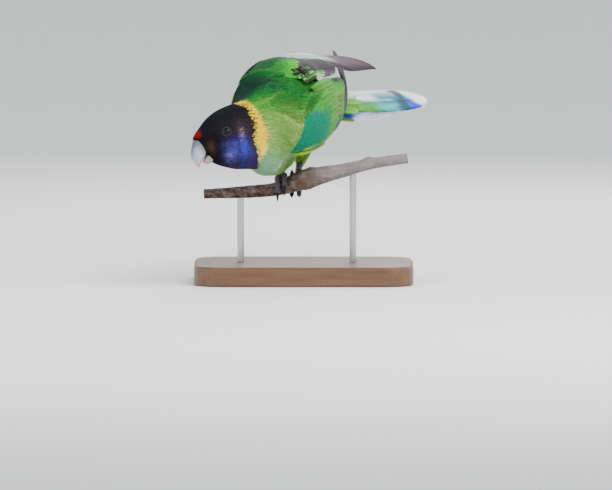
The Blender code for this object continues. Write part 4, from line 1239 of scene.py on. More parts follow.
def wingFeathers(hand):
    # Tiers from the longest, lowest feathers up to the scapulars; the far wing is brown with mint edges
    h = wingHues
    far = hand == "right"
    tiers = []
    for k in range(9):  # primaries
        t = k / 8
        tiers.append({
            "root": (4.4 - 1.9 * t, 6.0 - 1.3 * t, 0.09 + 0.09 * t),
            "tip": (-13.0 + 4.9 * t, -1.25 + 1.15 * t, 0.06 + 0.46 * t),
            "width": 1.12, "slope": 0.05, "bend": 1.35, "outline": "pointed", "shaft": -0.35, "stations": 30,
            "hue": h["primary"], "edge": h["primaryPale"] if far else h["primaryBlue"], "edgeAmount": 0.75,
            "inner": h["primaryPale"], "innerAmount": 0.55 if far else 0.15, "tipHue": h["primary"],
        })
    for k in range(10):  # secondaries
        t = k / 9
        tiers.append({
            "root": (3.2 - 1.3 * t, 5.2 - 2.7 * t, 0.12),
            "tip": (-3.5 - 1.5 * t, 3.7 - 2.2 * t, 0.25 + 0.14 * t),
            "width": 1.2, "slope": 0.13, "shaft": -0.3, "stations": 26,
            "hue": h["primary"] if far else h["green"], "edge": h["mint"] if far else h["tealRim"],
            "edgeAmount": 0.95, "inner": h["primaryPale"] if far else h["bronze"], "innerAmount": 0.5,
            "tipHue": h["mint"] if far else h["tealRim"],
        })
    for k in range(5):  # tertials
        t = k / 4
        tiers.append({
            "root": (2.0 + 1.9 * far, 2.5 - 1.6 * t, 0.14 + 0.01 * k),
            "tip": (-4.9 + 1.2 * t, 1.75 - 0.95 * t, 0.44 + 0.20 * t),
            "width": 1.4, "slope": 0.10, "shaft": -0.1, "stations": 26,
            "hue": h["primary"] if far else h["green"], "edge": h["primaryPale"] if far else h["greenPale"],
            # on the far wing the dark inner webs are partly the feathers' own and partly painted shadow in
            # the gap between the wings
            "inner": h["dusk"] if far else h["bronze"], "innerAmount": 0.85 if far else 0.7,
            "tipHue": h["primary"] if far else h["greenPale"],
        })
    for k in range(5):  # primary coverts
        t = k / 4
        tiers.append({
            "root": (4.5 - 0.6 * t, 6.05 - 0.9 * t, 0.18),
            "tip": (-0.5 - 0.4 * t, 5.3 - 1.1 * t, 0.30),
            "width": 0.85, "slope": 0.12, "outline": "covert", "stations": 14,
            "hue": h["darkGreen"] if far else h["darkBlue"] if t < 0.3 else h["yellowGreen"],
            "edge": h["mint"] if far else h["darkBlue"], "inner": h["primary"] if far else h["mintBand"],
            "tipHue": h["darkBlue"],
        })
    for k in range(9):  # greater coverts
        t = k / 8
        near = h["emerald"] * (1 - t) + h["green"] * t
        tiers.append({
            "root": (4.0 + 0.2 * far, 5.3 - 3.5 * t, 0.14 - 0.06 * far),
            "tip": (0.15 - 0.5 * t + far * (1.4 + 1.9 * t), 4.5 - 3.0 * t, 0.32 - 0.02 * far),
            "width": 0.90, "slope": 0.09, "outline": "covert", "stations": 15,
            "hue": (h["primary"] if t > 0.4 else h["mint"]) if far else near,
            "edge": (h["mint"] if t < 0.6 else h["primaryPale"]) if far else h["bronze"], "edgeAmount": 0.6,
            "inner": h["dusk"] if far else h["bronze"], "innerAmount": 0.5,
            "tipHue": (h["mint"] if t < 0.5 else h["primaryPale"]) if far else h["greenPale"],
        })
    for k in range(3 if far else 10):  # median coverts
        t = k / 9
        near = h["yellowGreen"] if t < 0.1 else h["green"]
        tiers.append({
            "root": (4.6, 5.7 - 4.3 * t, 0.08 - 0.04 * far),
            "tip": (2.1 + far * (0.4 + 0.8 * t), 5.1 - 3.9 * t, 0.36 - 0.02 * far),
            "width": 0.92, "slope": 0.09, "outline": "covert", "stations": 13,
            "hue": h["darkGreen"] * (1 - t) + h["bright"] * t if far else near,
            "edge": h["bright"] if far else h["emerald"], "edgeAmount": 0.5,
            "inner": h["bronze"], "innerAmount": 0.3, "tipHue": h["bright"] if far else h["greenPale"],
        })
    for k in range(3):  # alula
        tiers.append({
            "root": (4.9, 6.15 - 0.2 * k, 0.20 + 0.05 * k),
            "tip": (2.3 - 0.5 * k, 5.95 - 0.25 * k, 0.33 + 0.06 * k),
            "width": 0.6, "slope": 0.1, "outline": "covert", "stations": 12,
            "hue": h["darkGreen"] if far else h["yellowGreen"],
            "edge": h["darkGreen"] if far else h["darkBlue"],
            "inner": h["primary"] if far else h["yellowGreen"],
            "tipHue": h["darkBlue"] if far else h["mintBand"],
        })
    scapulars = 9 if far else 16  # the far wing shows a few narrow streaked ones
    for k in range(scapulars):
        t = k / (scapulars - 1)
        step = 1 - 0.25 * (k % 3) if far else k % 4 / 3
        streaked = h["cream"] if k % 2 else h["darkGreen"]
        tiers.append({
            "root": (4.4 - 0.8 * t + 0.9 * t * far, 2.3 - 1.9 * step, 0.12 - 0.06 * far),
            "tip": (1.2 - 1.5 * t + far * (1.7 + 1.0 * t), 2.0 - 1.6 * step, (0.34 + 0.010 * k) - 0.06 * far),
            "width": 0.36 if far else 0.78, "slope": 0.06, "outline": "covert", "stations": 15,
            "hue": streaked if far else h["green"], "edge": h["dusk"] if far else h["greenPale"],
            "inner": h["bronze"], "innerAmount": 0.6, "tipHue": h["bright"] if far else h["greenPale"],
        })
    for k in range(7):  # long loose feathers beside the spine, between the wings
        t = k / 6
        tiers.append({
            "root": (2.6 - 3.2 * t + 1.7 * far, 0.75 - 0.1 * (k % 2), 0.10),
            "tip": (-1.2 - 3.6 * t + 1.9 * far, 0.55 - 0.2 * (k % 2), 0.44 + 0.04 * (k % 3)),
            "width": 0.62, "slope": 0.05, "outline": "covert", "stations": 15,
            # on the far side the dark inner webs between cream edges are partly the feathers' own and partly
            # painted shadow in the gap between the wings
            "hue": h["green"], "edge": h["cream"] if far and k < 3 else h["greenPale"], "inner": h["dusk"],
            "innerAmount": 0.7 if far and k < 4 else 0.2, "tipHue": h["greenPale"],
        })
    return tiers


def wingSkin(hand):
    # The fleshy front of the wing, as in the solids; gives the surface that its small coverts grow on
    at = onWing(hand)
    front, back, grid = wingForm["front"][hand], wingForm["coreBack"], wingForm["coreGrid"]
    x, t = np.linspace(back, front, grid)[:, None], np.linspace(0, 1, grid)[None]
    height = curveAt(wingForm["coreHeight"], x[:, 0]) * wingForm["coreFlat"]
    narrow = 1 - smoothStep((front - x) / wingForm["coreNose"])
    low = wingForm["coreLow"] + wingForm["coreDrop"] * smoothStep((x - back) / (front - back)) - narrow
    across = low + (wingForm["coreHigh"] + narrow - low) * t
    inset = 0.3 + 0.7 * np.minimum(smoothStep(t / 0.3), smoothStep((1 - t) / 0.3))
    xs = np.array(np.broadcast_to(x, across.shape))
    points, under = at(xs, across, height * inset), at(xs, across, wingForm["coreUnder"])
    inward = bodyInward(points)
    merge = 1 - smoothStep((front - x[:, 0]) / wingForm["mergeLength"])
    for i, j in zip(*np.nonzero(np.broadcast_to(merge[:, None] > 0, across.shape))):
        start = Vector(points[i, j] - inward[i, j] * 1.5)
        hit, _, _, distance = bodyTree.ray_cast(start, Vector(inward[i, j]), 4.0)
        if hit is not None:
            drop = (distance - 1.5 - 0.05) * merge[i]
            points[i, j] += inward[i, j] * drop
            under[i, j] += inward[i, j] * drop
    surface = faceOut(makeSurface(points, wrap=False), under.mean(1))
    surface["x"], surface["across"] = xs, across
    allPoints, faces = closedSheet(points, under)
    tint = covertTint(hand, np.tile(xs.ravel(), 2), np.tile(across.ravel(), 2), 0.0)
    i, j = np.indices((grid, grid))
    patch = np.stack([j / grid * 0.48, i / grid], -1).reshape(-1, 2) * 0.99 + 0.005
    patch = np.concatenate([patch, patch + np.array([0.5, 0])])
    # The wing's skin takes the coverts' colours at six tenths, a painted shade under them
    makePiece("skin_wing_" + hand, allPoints, [faces], coatSkin, tint * 0.6, patch)
    return surface


def covertTint(hand, x, across, wander):
    # Colour of the small coverts by place on the wing
    x, across = x + wander * 0.15, across + wander * 0.15
    base = filled(wingHues["green"], len(x))
    if hand == "right":
        edge = across + softNoise(x * 1.5, across * 1.5) * 0.5
        return painted(
            base, wingHues,
            ("bright", between(across, 3.2, 1.8) * between(x, 5.0, 4.2) * 0.85),
            ("darkGreen", between(edge, 2.2, 3.3)),
            ("darkBlue", between(across, 6.0, 6.3) * between(x, 3.4, 2.6)),
        )
    patch = between(across, 2.0, 2.4) * between(x, 2.7, 3.2)
    return painted(
        base, wingHues,
        ("bronze", between(softNoise(x * 0.5, across * 3.0), 0.0, 0.5) * between(across, 2.6, 1.8)),
        ("turquoise", patch),
        ("emerald", patch * between(softNoise(x * 1.3 + 5, across * 1.3), 0.0, 0.6) * 0.7),
        ("yellowGreen", between(across, 4.9, 5.3) * between(x, 5.6, 5.0)),
        ("mintBand", between(across, 5.5, 5.9) * 0.7),
        ("darkBlue", between(across, 6.0, 6.3)),
        ("paleBlue", spot(x, 5.3, 0.22) * spot(across, 2.3, 0.22) * 0.8),
    )


covertForm = {
    "count": 8000,
    "length": 0.68,
    "width": 0.20,
    "lift": 0.075,
    "from": {"left": 1.8, "right": 2.8},
    "seed": 31,
}
wingSurfaces = {}


def makeWing(hand):
    rng = np.random.default_rng(covertForm["seed"] + sides[hand])
    surface = wingSkin(hand)
    rows, columns = surface["points"].shape[:2]
    raised = surface["points"] + surface["normals"] * covertForm["lift"]
    surface["tree"] = BVHTree.FromPolygons(raised.reshape(-1, 3).tolist(), sheetFaces(rows, columns).tolist())
    wingSurfaces[hand] = surface
    density = (surface["x"] > covertForm["from"][hand]).astype(float)
    row, turn = scatter(surface, covertForm["count"], density, rng)
    x, across = surfaceAt(surface, row, turn, "x", "across")
    count = len(row)
    tint = covertTint(hand, x, across, rng.normal(0, 1, count))
    length = covertForm["length"] * rng.uniform(0.75, 1.2, count)
    width = covertForm["width"] * rng.uniform(0.8, 1.2, count)
    lift = covertForm["lift"] * rng.uniform(0.5, 1.2, count)
    points = layVanes(surface, row, turn, length, width, rng.normal(0, 0.12, count), lift)
    tints = vaneTints(tint, points.shape[1], rng)
    coatPiece("coat_wing_" + hand, surface, row, turn, points, tints, softFeather, rng)
    long = longPiece("feathers_wing_" + hand, onWing(hand), wingFeathers(hand), flightTint(hand), vaneFeather,
                     wingForm["seed"] + sides[hand])
    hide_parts("wing_" + hand)


# Fine loose barbs that lie over the neck and mantle like hair
strands = {"count": 9000, "from": 2.2, "to": 8.0, "length": 1.10, "width": 0.034, "seed": 21}


def makeStrands():
    rng = np.random.default_rng(strands["seed"])
    along = body["along"]
    density = ((along > strands["from"]) & (along < strands["to"])).astype(float)
    row, turn = scatter(body, strands["count"], density, rng)
    where = bodyCoordinates(row, turn)
    place, = surfaceAt(body, row, turn, "points")
    keep = wingCover(place, where["turn"]) < 0.05
    row, turn = row[keep], turn[keep]
    count = len(row)
    tint, where = tintAlong(row, turn, np.full(count, 0.6), rng)
    pale = between(where["off"], 40, 70) * between(rng.random(count), 0.3, 1.0) * (where["along"] < 7.4)
    tint = blendIn(tint, hues["fleck"], pale * 0.45 * (1 - where["collar"]))
    length = strands["length"] * rng.uniform(0.6, 1.3, count) * (1 - 0.5 * where["collar"])
    width = strands["width"] * rng.uniform(0.6, 1.3, count)
    lift = rng.uniform(0.09, 0.17, count)
    yaw = lean(where) + rng.normal(0, 0.07, count)

    def lay(size):
        return layVanes(body, row, turn, size, width, yaw, lift, strandShape, 0.03)

    points = overWings(lay, length, where, 0.2)
    tints = vaneTints(tint, points.shape[1], rng, 0.85, 1.2, 0.10)
    coatPiece("coat_strands", body, row, turn, points, tints, softFeather, rng)


for hand in sides:
    makeWing(hand)
print("wings ready")
for zoneName, zone in coat.items():
    makeCoat(zoneName, zone)
makeStrands()
print("body coat ready")

# Tail, with feathers in pairs from the middle outwards
tailForm = {
    "lengths": (19.5, 18.6, 16.8, 14.6, 12.4, 10.5),
    "edges": {
        "left": (0.85, 0.90, 0.98, 1.08, 1.22, 1.42),
        "right": (1.00, 1.32, 1.42, 1.48, 1.52, 1.55),
    },
    "layer": 0.095,
    "top": 0.30,
    "middle": 0.03,
    "seed": 52,
}
tailHues = {
    "green": shade(70, 164, 34),
    "mint": shade(236, 255, 250),
    "turquoise": shade(60, 186, 196),
    "navy": shade(12, 48, 80),
    "blue": shade(30, 70, 220),
    "tip": shade(255, 255, 255),
    "lavender": shade(222, 226, 255),
    "deepBlue": shade(22, 70, 160),
}


def tailTint(feather, share, across):
    along = feather["length"] * share
    y = feather["tip"][1] + across * feather["width"] / 2
    line = softNoise(along * 0.16 + feather["pair"] * 5 + 20, y * 11.0)
    line = line + 0.5 * softNoise(along * 0.5, y * 27.0 + 9)
    shaft = spot(across, feather["shaft"], 0.05)
    base = filled(tailHues["green"], len(share))
    if feather["pair"] == 0:
        return painted(
            base, tailHues,
            ("turquoise", between(along + line * 1.2, 6.5, 10.5)),
            # the right half, which faces up, gets turquoise and mint, a painted sheen
            ("turquoise", between(y + line * 0.1, 0.15, -0.2) * 0.9),
            ("mint", between(line, 0.0, 0.35) * between(y, 0.1, -0.15) * between(along, 14, 11)),
            ("mint", between(y, -0.36, -0.55) * between(along, 15.5, 13.5)),
            ("navy", between(line, -0.25, -0.6) * between(along, 4, 9) * between(along, 15, 13) * 0.55),
            ("navy", between(along + line, 12.2, 13.2) * between(along, 15.6, 14.6) * 0.9),
            ("blue", between(along, 14.4, 15.2) * between(y, -0.25, 0.1)),
            ("tip", between(along - y * 1.6 + line * 0.3, 15.6, 16.8)),
            ("navy", shaft * between(along, 17, 15) * 0.6),
        )
    # The right-hand feathers face up and get turquoise and mint, a painted sheen
    onRight = feather["side"] < 0
    return painted(
        base, tailHues,
        ("deepBlue", between(share, 0.02, 0.08)),
        ("blue", between(share, 0.12, 0.3)),
        ("turquoise", between(share, 0.05, 0.2) * 0.8 * onRight),
        ("mint", between(line, -0.2, 0.3) * 0.9 * onRight),
        ("lavender", between(share + line * 0.06, 0.2, 0.34)),
        ("tip", between(share, 0.7, 0.95)),
        ("deepBlue", shaft * between(share, 0.9, 0.7) * 0.5),
    )


def tailFeathers():
    feathers = []
    for pair, length in enumerate(tailForm["lengths"]):
        for hand, side in sides.items():
            outer = tailForm["edges"][hand][pair]
            layer = tailForm["top"] - tailForm["layer"] * (pair + 1)
            spine, width = side * (outer + tailForm["middle"]) / 2, outer - tailForm["middle"]
            if pair == 0:
                layer += tailForm["layer"] * (side < 0)
                spine, width = side * 0.08, outer * 2
            feathers.append({
                "root": (0.6, spine * 0.7, layer * 0.6), "tip": (length, spine, layer), "width": width,
                "camber": 0.02, "stations": 40, "pair": pair, "side": side, "length": length,
                "shaft": -0.1 * side, "outline": "tail",
            })
    return feathers


tailCoverts = {"count": 26, "placeSeed": 51, "seed": 53}


def covertsOfTail():
    # Loose coverts over and under the root of the tail, by turns
    rng = np.random.default_rng(tailCoverts["placeSeed"])
    feathers = []
    for k in range(tailCoverts["count"]):
        upper = 1 if k % 2 else -1
        spine = rng.uniform(-0.85, 0.85)
        middle = 1 - abs(spine) / 1.6
        height = 0.40 + 0.12 * rng.random()
        tipHeight = height if upper > 0 else -height - 0.12
        feathers.append({
            "root": (-0.6 + rng.random(), spine * 0.8, upper * height * 0.8),
            "tip": (3.2 + 2.6 * middle + rng.uniform(-1.4, 0.4), spine, tipHeight),
            "width": 0.9, "outline": "covert", "stations": 16, "upper": upper,
        })
    return feathers


def tailCovertTint(feather, share, across):
    y = feather["tip"][1] + across * feather["width"] / 2
    line = softNoise(share * 2 + feather["tip"][0], y * 9.0)
    base = filled(hues["rump"] if feather["upper"] > 0 else hues["vent"], len(share))
    # upper coverts turn mint on their right side, which faces up, a painted sheen
    if feather["upper"] > 0:
        pale = between(-y + line * 0.15, 0.2, 0.45) * between(share, 0.2, 0.6)
        base = blendIn(base, tailHues["mint"], pale)
    base = blendIn(base, hues["vent"], between(line, 0.1, 0.5) * 0.5)
    # darker towards the root, a painted shade under the feathers over it
    return base * (0.62 + 0.4 * share)[:, None] * (1 + 0.15 * line)[:, None]


tail = longPiece("feathers_tail", onTail, tailFeathers(), tailTint, vaneFeather,
                 tailForm["seed"])
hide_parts("tail")
longPiece("feathers_tail_coverts", onTail, covertsOfTail(), tailCovertTint, vaneFeather,
          tailCoverts["seed"])
print("tail ready")

# Branch, as in the solids: distance along X from the grip, height over it, radius
perchForm = {
    "rows": (
        (-6.3, -1.00, 0.36), (-5.3, -0.96, 0.39), (-3.5, -0.88, 0.45), (-1.6, -0.73, 0.49),
        (-0.6, -0.55, 0.53), (0.6, -0.10, 0.71), (1.5, 0.12, 0.73), (2.6, 0.42, 0.62),
        (3.7, 0.67, 0.53), (6.1, 1.24, 0.41), (8.6, 1.60, 0.38),
    ),
    "scars": (-5.4, -3.9, -2.3, 2.9, 4.4, 7.4),  # rings left by old leaves
    "stubs": ((5.8, 1.5, 0.34), (-2.9, 2.2, 0.16), (1.7, 1.1, 0.22), (3.1, -0.4, 0.15)),
    "stations": 300,
    "around": 72,
    "inset": 0.015,
    "brown": shade(66, 44, 34),
    "grey": shade(126, 118, 122),
    "knob": shade(112, 88, 78),
    "lichen": shade(158, 150, 150),
    "cut": shade(196, 166, 120),
}


def perchCentre(x):
    height, radius = curveAt(perchForm["rows"], x)
    return np.array((grip.x + x, grip.y, grip.z + height)), radius


def barkMaterial():
    material, nodes, links, shader = newMaterial("bark", (0.2, 0.15, 0.12), 0.88, specular=0.2)
    place = objectPlace(nodes)
    fibres = noiseNode(nodes, links, stretchedPlace(nodes, links, (0.16, 1.0, 1.0)), 620.0, 9.0, 0.68)
    blotches = noiseNode(nodes, links, place, 230.0, 6.0, 0.62)
    fine = noiseNode(nodes, links, place, 1500.0, 4.0, 0.6)
    tone = mixColours(nodes, links, fibres, (0.25, 0.22, 0.20), (1.75, 1.72, 1.70))
    colour = mixColours(nodes, links, 1.0, attributeNode(nodes, "tint"), tone, "MULTIPLY")
    patches = mathNode(nodes, links, "MULTIPLY_ADD", blotches, 3.2, -1.35, clamp=True)
    amount = mathNode(nodes, links, "MULTIPLY", patches, 0.55)
    patchy = mixColours(nodes, links, amount, colour, perchForm["lichen"])
    grain = mixColours(nodes, links, fine, (0.72, 0.70, 0.68), (1.25, 1.25, 1.25))
    baseColour(nodes, links, shader, patchy, grain)
    height = mathNode(nodes, links, "ADD", fibres, mathNode(nodes, links, "MULTIPLY", fine, 0.4))
    addBump(nodes, links, shader, height, 0.9, 0.0007)
    return material


def endGrainMaterial():
    material, nodes, links, shader = newMaterial("endGrain", shade(190, 156, 108), 0.7, specular=0.25)
    waves = nodes.new("ShaderNodeTexWave")
    waves.wave_type = "RINGS"
    waves.rings_direction = "X"
    waves.inputs["Scale"].default_value = 300.0
    waves.inputs["Distortion"].default_value = 1.5
    links.new(objectPlace(nodes), waves.inputs["Vector"])
    rings = waves.outputs["Fac"]
    colour = mixColours(nodes, links, rings, shade(160, 122, 78), shade(206, 176, 128))
    baseColour(nodes, links, shader, colour)
    addBump(nodes, links, shader, rings, 0.3, 0.0002)
    return material


def barkRadius(x, turn, radius, knob):
    # The branch's radius at one place, with rough bark, furrows, leaf scars and stubs
    spotAt = Vector((x * 0.9, math.cos(turn) * radius * 1.6, math.sin(turn) * radius * 1.6))
    rough = noise.fractal(spotAt * 2.2, 1.0, 2.0, 5) * (0.035 + 0.07 * knob)
    furrow = noise.noise(Vector((x * 0.8, math.cos(turn) * 3.2, math.sin(turn) * 3.2))) * 0.03
    scars = sum(math.exp(-((x - at) / 0.09) ** 2) for at in perchForm["scars"]) * 0.035
    stubs = 0.0
    for at, side, size in perchForm["stubs"]:
        away = math.hypot((x - at) / 0.32, (((turn - side + math.pi) % (2 * math.pi)) - math.pi) / 0.6)
        stubs += size * math.exp(-away**2)
    return radius * (1 + rough + furrow + scars + stubs) - perchForm["inset"]


def makePerch():
    turns = np.linspace(0, 2 * math.pi, perchForm["around"], endpoint=False)
    first, last = perchForm["rows"][0][0], perchForm["rows"][-1][0]
    path, radii, tints = [], [], []
    for x in np.linspace(first, last, perchForm["stations"]):
        centre, radius = perchCentre(x)
        knob = math.exp(-((x - 1.0) / 1.1) ** 2)
        path.append(centre)
        radii.append([barkRadius(x, turn, radius, knob) for turn in turns])
        grey = float(between(x, 0.2, 3.4))
        tone = perchForm["brown"] * (1 - grey) + perchForm["grey"] * grey
        tone = tone * (1 - knob * 0.5) + perchForm["knob"] * knob * 0.5
        tints.append(filled(tone, perchForm["around"]))
    points, faces = lofted(tubeRings(path, radii, perchForm["around"]))
    tints = np.concatenate([*tints, filled(perchForm["cut"], 2)])
    perch = makePiece("branch", points, faces, barkMaterial(), tints)
    perch.data.materials.append(endGrainMaterial())
    ends = np.zeros(len(perch.data.polygons), np.int32)
    ends[-2 * perchForm["around"]:] = 1
    perch.data.polygons.foreach_set("material_index", ends)
    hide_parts("perch")


makePerch()
print("branch ready")

# Legs and feet, as in the solids
footForm = {
    "right": {
        "perch": -0.66, "turn": -4.0, "reach": 0.92, "size": 1.0, "outer": -1,
        "ankle": (-0.80, 1.75, 1.50), "thigh": (-0.6, 1.5, 4.2),
    },
    "left": {
        "perch": 0.40, "turn": -100.0, "reach": 0.66, "size": 0.85, "outer": 1,
        "ankle": (0.75, 3.05, 1.2), "thigh": (0.9, 2.3, 3.6),
    },
}
toeForm = {
    1: {"sweep": 78.0, "front": -1, "offset": -0.27, "claw": 0.62},
    2: {"sweep": 92.0, "front": 1, "offset": -0.25, "claw": 0.72},
    3: {"sweep": 118.0, "front": 1, "offset": 0.25, "claw": 0.80},
    4: {"sweep": 112.0, "front": -1, "offset": 0.27, "claw": 0.72},
}
toeSize = {"radius": 0.235, "end": 0.165, "gap": 0.06, "scutes": 9, "around": 28, "stations": 90}
ballForm = {"size": 1.3, "stations": 20}  # the ball of the foot, in radii of a toe
clawGrid = (20, 20)  # stations along a claw, points round it
tarsusForm = {"radii": ((0.0, 0.26), (0.35, 0.24), (0.7, 0.22), (1.0, 0.30)), "scutes": 10, "stations": 60}
thighForm = {
    "radii": ((0.0, 1.35), (0.55, 1.10), (1.0, 0.52)),
    "count": 900,
    "length": (0.45, 0.75),
    "width": (0.2, 0.32),
    "lift": (0.04, 0.12),
    "stations": 40,
    "around": 40,
    "seed": 61,
}


def footPad(foot):
    centre, radius = perchCentre(foot["perch"])
    turn = math.radians(foot["turn"])
    reach = radius + toeSize["radius"] + toeSize["gap"]
    return centre + np.array((0, -math.sin(turn), math.cos(turn))) * reach


def toePath(foot, toe, stations):
    x = foot["perch"] + foot["outer"] * toe["offset"]
    centre, radius = perchCentre(x)
    reach = radius + toeSize["radius"] + toeSize["gap"]
    start = foot["turn"] - toe["front"] * 12
    end = foot["turn"] + toe["front"] * toe["sweep"] * foot["reach"]
    sweeps = np.radians(np.linspace(start, end, stations))
    path = centre + np.stack([np.zeros(stations), -np.sin(sweeps), np.cos(sweeps)], -1) * reach
    root, _ = perchCentre(foot["perch"])
    path[:, 0] += (root[0] - centre[0]) / 2 * (1 - smoothStep(np.linspace(0, 1, stations) * 4))
    return path


def scaleMaterial():
    material, nodes, links, shader = newMaterial("footScales", shade(78, 72, 80), 0.55, specular=0.4)
    cells = cellNode(nodes, links, 1100.0, "DISTANCE_TO_EDGE")
    edge = mathNode(nodes, links, "MULTIPLY", cells, 6.0, clamp=True)
    grain = noiseNode(nodes, links, objectPlace(nodes), 500.0, 5.0)
    pale = mixColours(nodes, links, grain, shade(56, 50, 58), shade(122, 112, 128))
    baseColour(nodes, links, shader, mixColours(nodes, links, edge, shade(34, 30, 34), pale))
    addBump(nodes, links, shader, edge, 0.7, 0.0003)
    return material


def clawMaterial():
    root, tip = shade(14, 13, 16), shade(44, 40, 42)
    material, nodes, links, shader = newMaterial("clawHorn", tip, 0.55, specular=0.2)
    grain = noiseNode(nodes, links, objectPlace(nodes), 420.0, 6.0)
    baseColour(nodes, links, shader, mixColours(nodes, links, grain, root, tip))
    addBump(nodes, links, shader, grain, 0.3, 0.0002)
    return material


footScales, clawHorn = scaleMaterial(), clawMaterial()


def scuteRadii(base, count, plates, depth=0.07):
    # Radii that swell over each plate and dip at its joint
    phase = np.linspace(0, plates, count)
    return base * (1 - depth * np.abs(np.cos(phase * math.pi)) ** 6)


def makeClaw(hand, number, foot, toe, path):
    # Curved on from the end of the toe, towards the middle of the branch
    ahead = unit(path[-1] - path[-2])
    axis, _ = perchCentre(foot["perch"] + foot["outer"] * toe["offset"])
    inward = axis - path[-1]
    inward = unit(inward - ahead * (inward @ ahead))
    stations, count = clawGrid
    s = np.linspace(0, 1, stations)[:, None]
    curve = path[-1] - ahead * 0.03 + ahead * (toe["claw"] + 0.05) * s + inward * toe["claw"] * 0.38 * s * s
    radii = toeSize["end"] * 0.80 * (1 - s[:, 0]) ** 0.75 + 0.012
    points, faces = lofted(tubeRings(curve, radii, count))
    claw = makePiece(f"claw_{hand}_{number}_horn", points, faces, clawHorn)
    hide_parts(f"claw_{hand}_{number}")


def makeFoot(hand):
    foot = footForm[hand]
    pad = footPad(foot)
    ankle = np.array(grip) + np.array(foot["ankle"])
    shares = np.linspace(0, 1, tarsusForm["stations"])
    tarsus = ankle + (pad - ankle) * shares[:, None]
    radii = curveAt(tarsusForm["radii"], shares)[:, 0]
    radii = scuteRadii(radii, tarsusForm["stations"], tarsusForm["scutes"], 0.06)
    parts = [tubeRings(tarsus, radii, toeSize["around"])]
    stations = toeSize["stations"]
    for number, toe in toeForm.items():
        path = toePath(foot, toe, stations)
        base = np.linspace(toeSize["radius"], toeSize["end"], stations)
        parts.append(tubeRings(path, scuteRadii(base, stations, toeSize["scutes"]), toeSize["around"]))
        makeClaw(hand, number, foot, toe, path)
    turns = np.linspace(0.05, math.pi - 0.05, ballForm["stations"])
    ball = pad + np.outer(np.cos(turns), (1, 0, 0)) * toeSize["radius"] * ballForm["size"]
    parts.append(tubeRings(ball, np.sin(turns) * toeSize["radius"] * ballForm["size"], toeSize["around"]))
    allPoints, allQuads, allCaps, start = [], [], [], 0
    for rings in parts:
        points, faces = lofted(rings)
        allPoints.append(points)
        allQuads.append(faces[0] + start)
        allCaps += [faces[1] + start, faces[2] + start]
        start += len(points)
    limb = makePiece("foot_" + hand, np.concatenate(allPoints), allQuads + allCaps, footScales)
    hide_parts("leg_" + hand)


def makeThigh(hand):
    # Feathered thigh from the belly to the ankle, its feathers pointing down the leg
    foot = footForm[hand]
    rng = np.random.default_rng(thighForm["seed"] + sides[hand])
    ankle, top = np.array(grip) + np.array(foot["ankle"]), np.array(grip) + np.array(foot["thigh"])
    shares = np.linspace(1, 0, thighForm["stations"])
    path = top + (ankle - top) * shares[:, None]
    radii = np.maximum(curveAt(thighForm["radii"], shares)[:, 0] * foot["size"] - 0.12, 0.15)
    rings = tubeRings(path, radii, thighForm["around"])
    surface = faceOut(makeSurface(rings, wrap=True), rings.mean(1))
    points, faces = lofted(rings)
    # The thigh's skin is the belly's colour at half, a painted shade under its feathers
    under = filled(hues["belly"] * 0.5, len(points))
    thigh = makePiece("skin_thigh_" + hand, points, faces, coatSkin, under)
    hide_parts("thigh_" + hand)
    row, turn = scatter(surface, thighForm["count"], np.ones(rings.shape[:2]), rng)
    count = len(row)
    length, width = rng.uniform(*thighForm["length"], count), rng.uniform(*thighForm["width"], count)
    yaw, lift = rng.normal(0, 0.15, count), rng.uniform(*thighForm["lift"], count)
    vanes = layVanes(surface, row, turn, length, width, yaw, lift)
    tint = vaneTints(blendIn(filled(hues["belly"], count), hues["side"], rng.random(count) * 0.6), 5, rng)
    coatPiece("coat_thigh_" + hand, surface, row, turn, vanes, tint, softFeather, rng)


for hand in sides:
    makeFoot(hand)
    makeThigh(hand)
print("feet ready")

# Bill: culmen x and z, edge x and z, half width, from the root inside the head to the tip
billForm = {
    "upper": (
        (2.20, 0.62, 1.45, -0.10, 0.62), (2.66, 0.47, 1.74, -0.32, 0.64), (2.93, 0.12, 2.05, -0.62, 0.58),
        (3.10, -0.22, 2.27, -0.86, 0.50), (3.19, -0.57, 2.47, -1.00, 0.40), (3.16, -0.92, 2.66, -1.15, 0.29),
        (3.05, -1.22, 2.78, -1.31, 0.18), (2.92, -1.46, 2.86, -1.46, 0.07),
    ),
    "lower": (
        (1.30, -0.50, 1.26, -1.10, 0.46), (1.70, -0.48, 1.64, -1.28, 0.50), (2.02, -0.68, 1.95, -1.40, 0.46),
        (2.28, -0.92, 2.22, -1.38, 0.36), (2.46, -1.08, 2.42, -1.28, 0.20),
    ),
    "around": 64,
    "stations": 90,
    "nostril": (2.62, 0.30, 0.34),
    "nostrilSize": 0.075,
}
billHues = {
    "horn": shade(172, 174, 184),
    "culmen": shade(52, 88, 150),
    "tip": shade(206, 140, 104),
    "underside": shade(70, 60, 66),
    "root": shade(64, 58, 66),
    "pit": shade(20, 16, 18),
    "cere": shade(96, 84, 92),
}


def billMaterial():
    material, nodes, links, shader = newMaterial("billHorn", shade(190, 190, 192), 0.36, coat=0.2)
    shader.inputs["Coat Roughness"].default_value = 0.25
    shader.inputs["Subsurface Weight"].default_value = 0.08
    shader.inputs["Subsurface Scale"].default_value = 0.002
    place = objectPlace(nodes)
    grain = noiseNode(nodes, links, place, 300.0, 7.0, 0.65)
    fine = noiseNode(nodes, links, place, 1500.0, 4.0)
    tone = mixColours(nodes, links, grain, (0.50, 0.52, 0.58), (1.35, 1.33, 1.30))
    baseColour(nodes, links, shader, attributeNode(nodes, "tint"), tone)
    addBump(nodes, links, shader, mathNode(nodes, links, "ADD", grain, fine), 0.25, 0.0002)
    return material


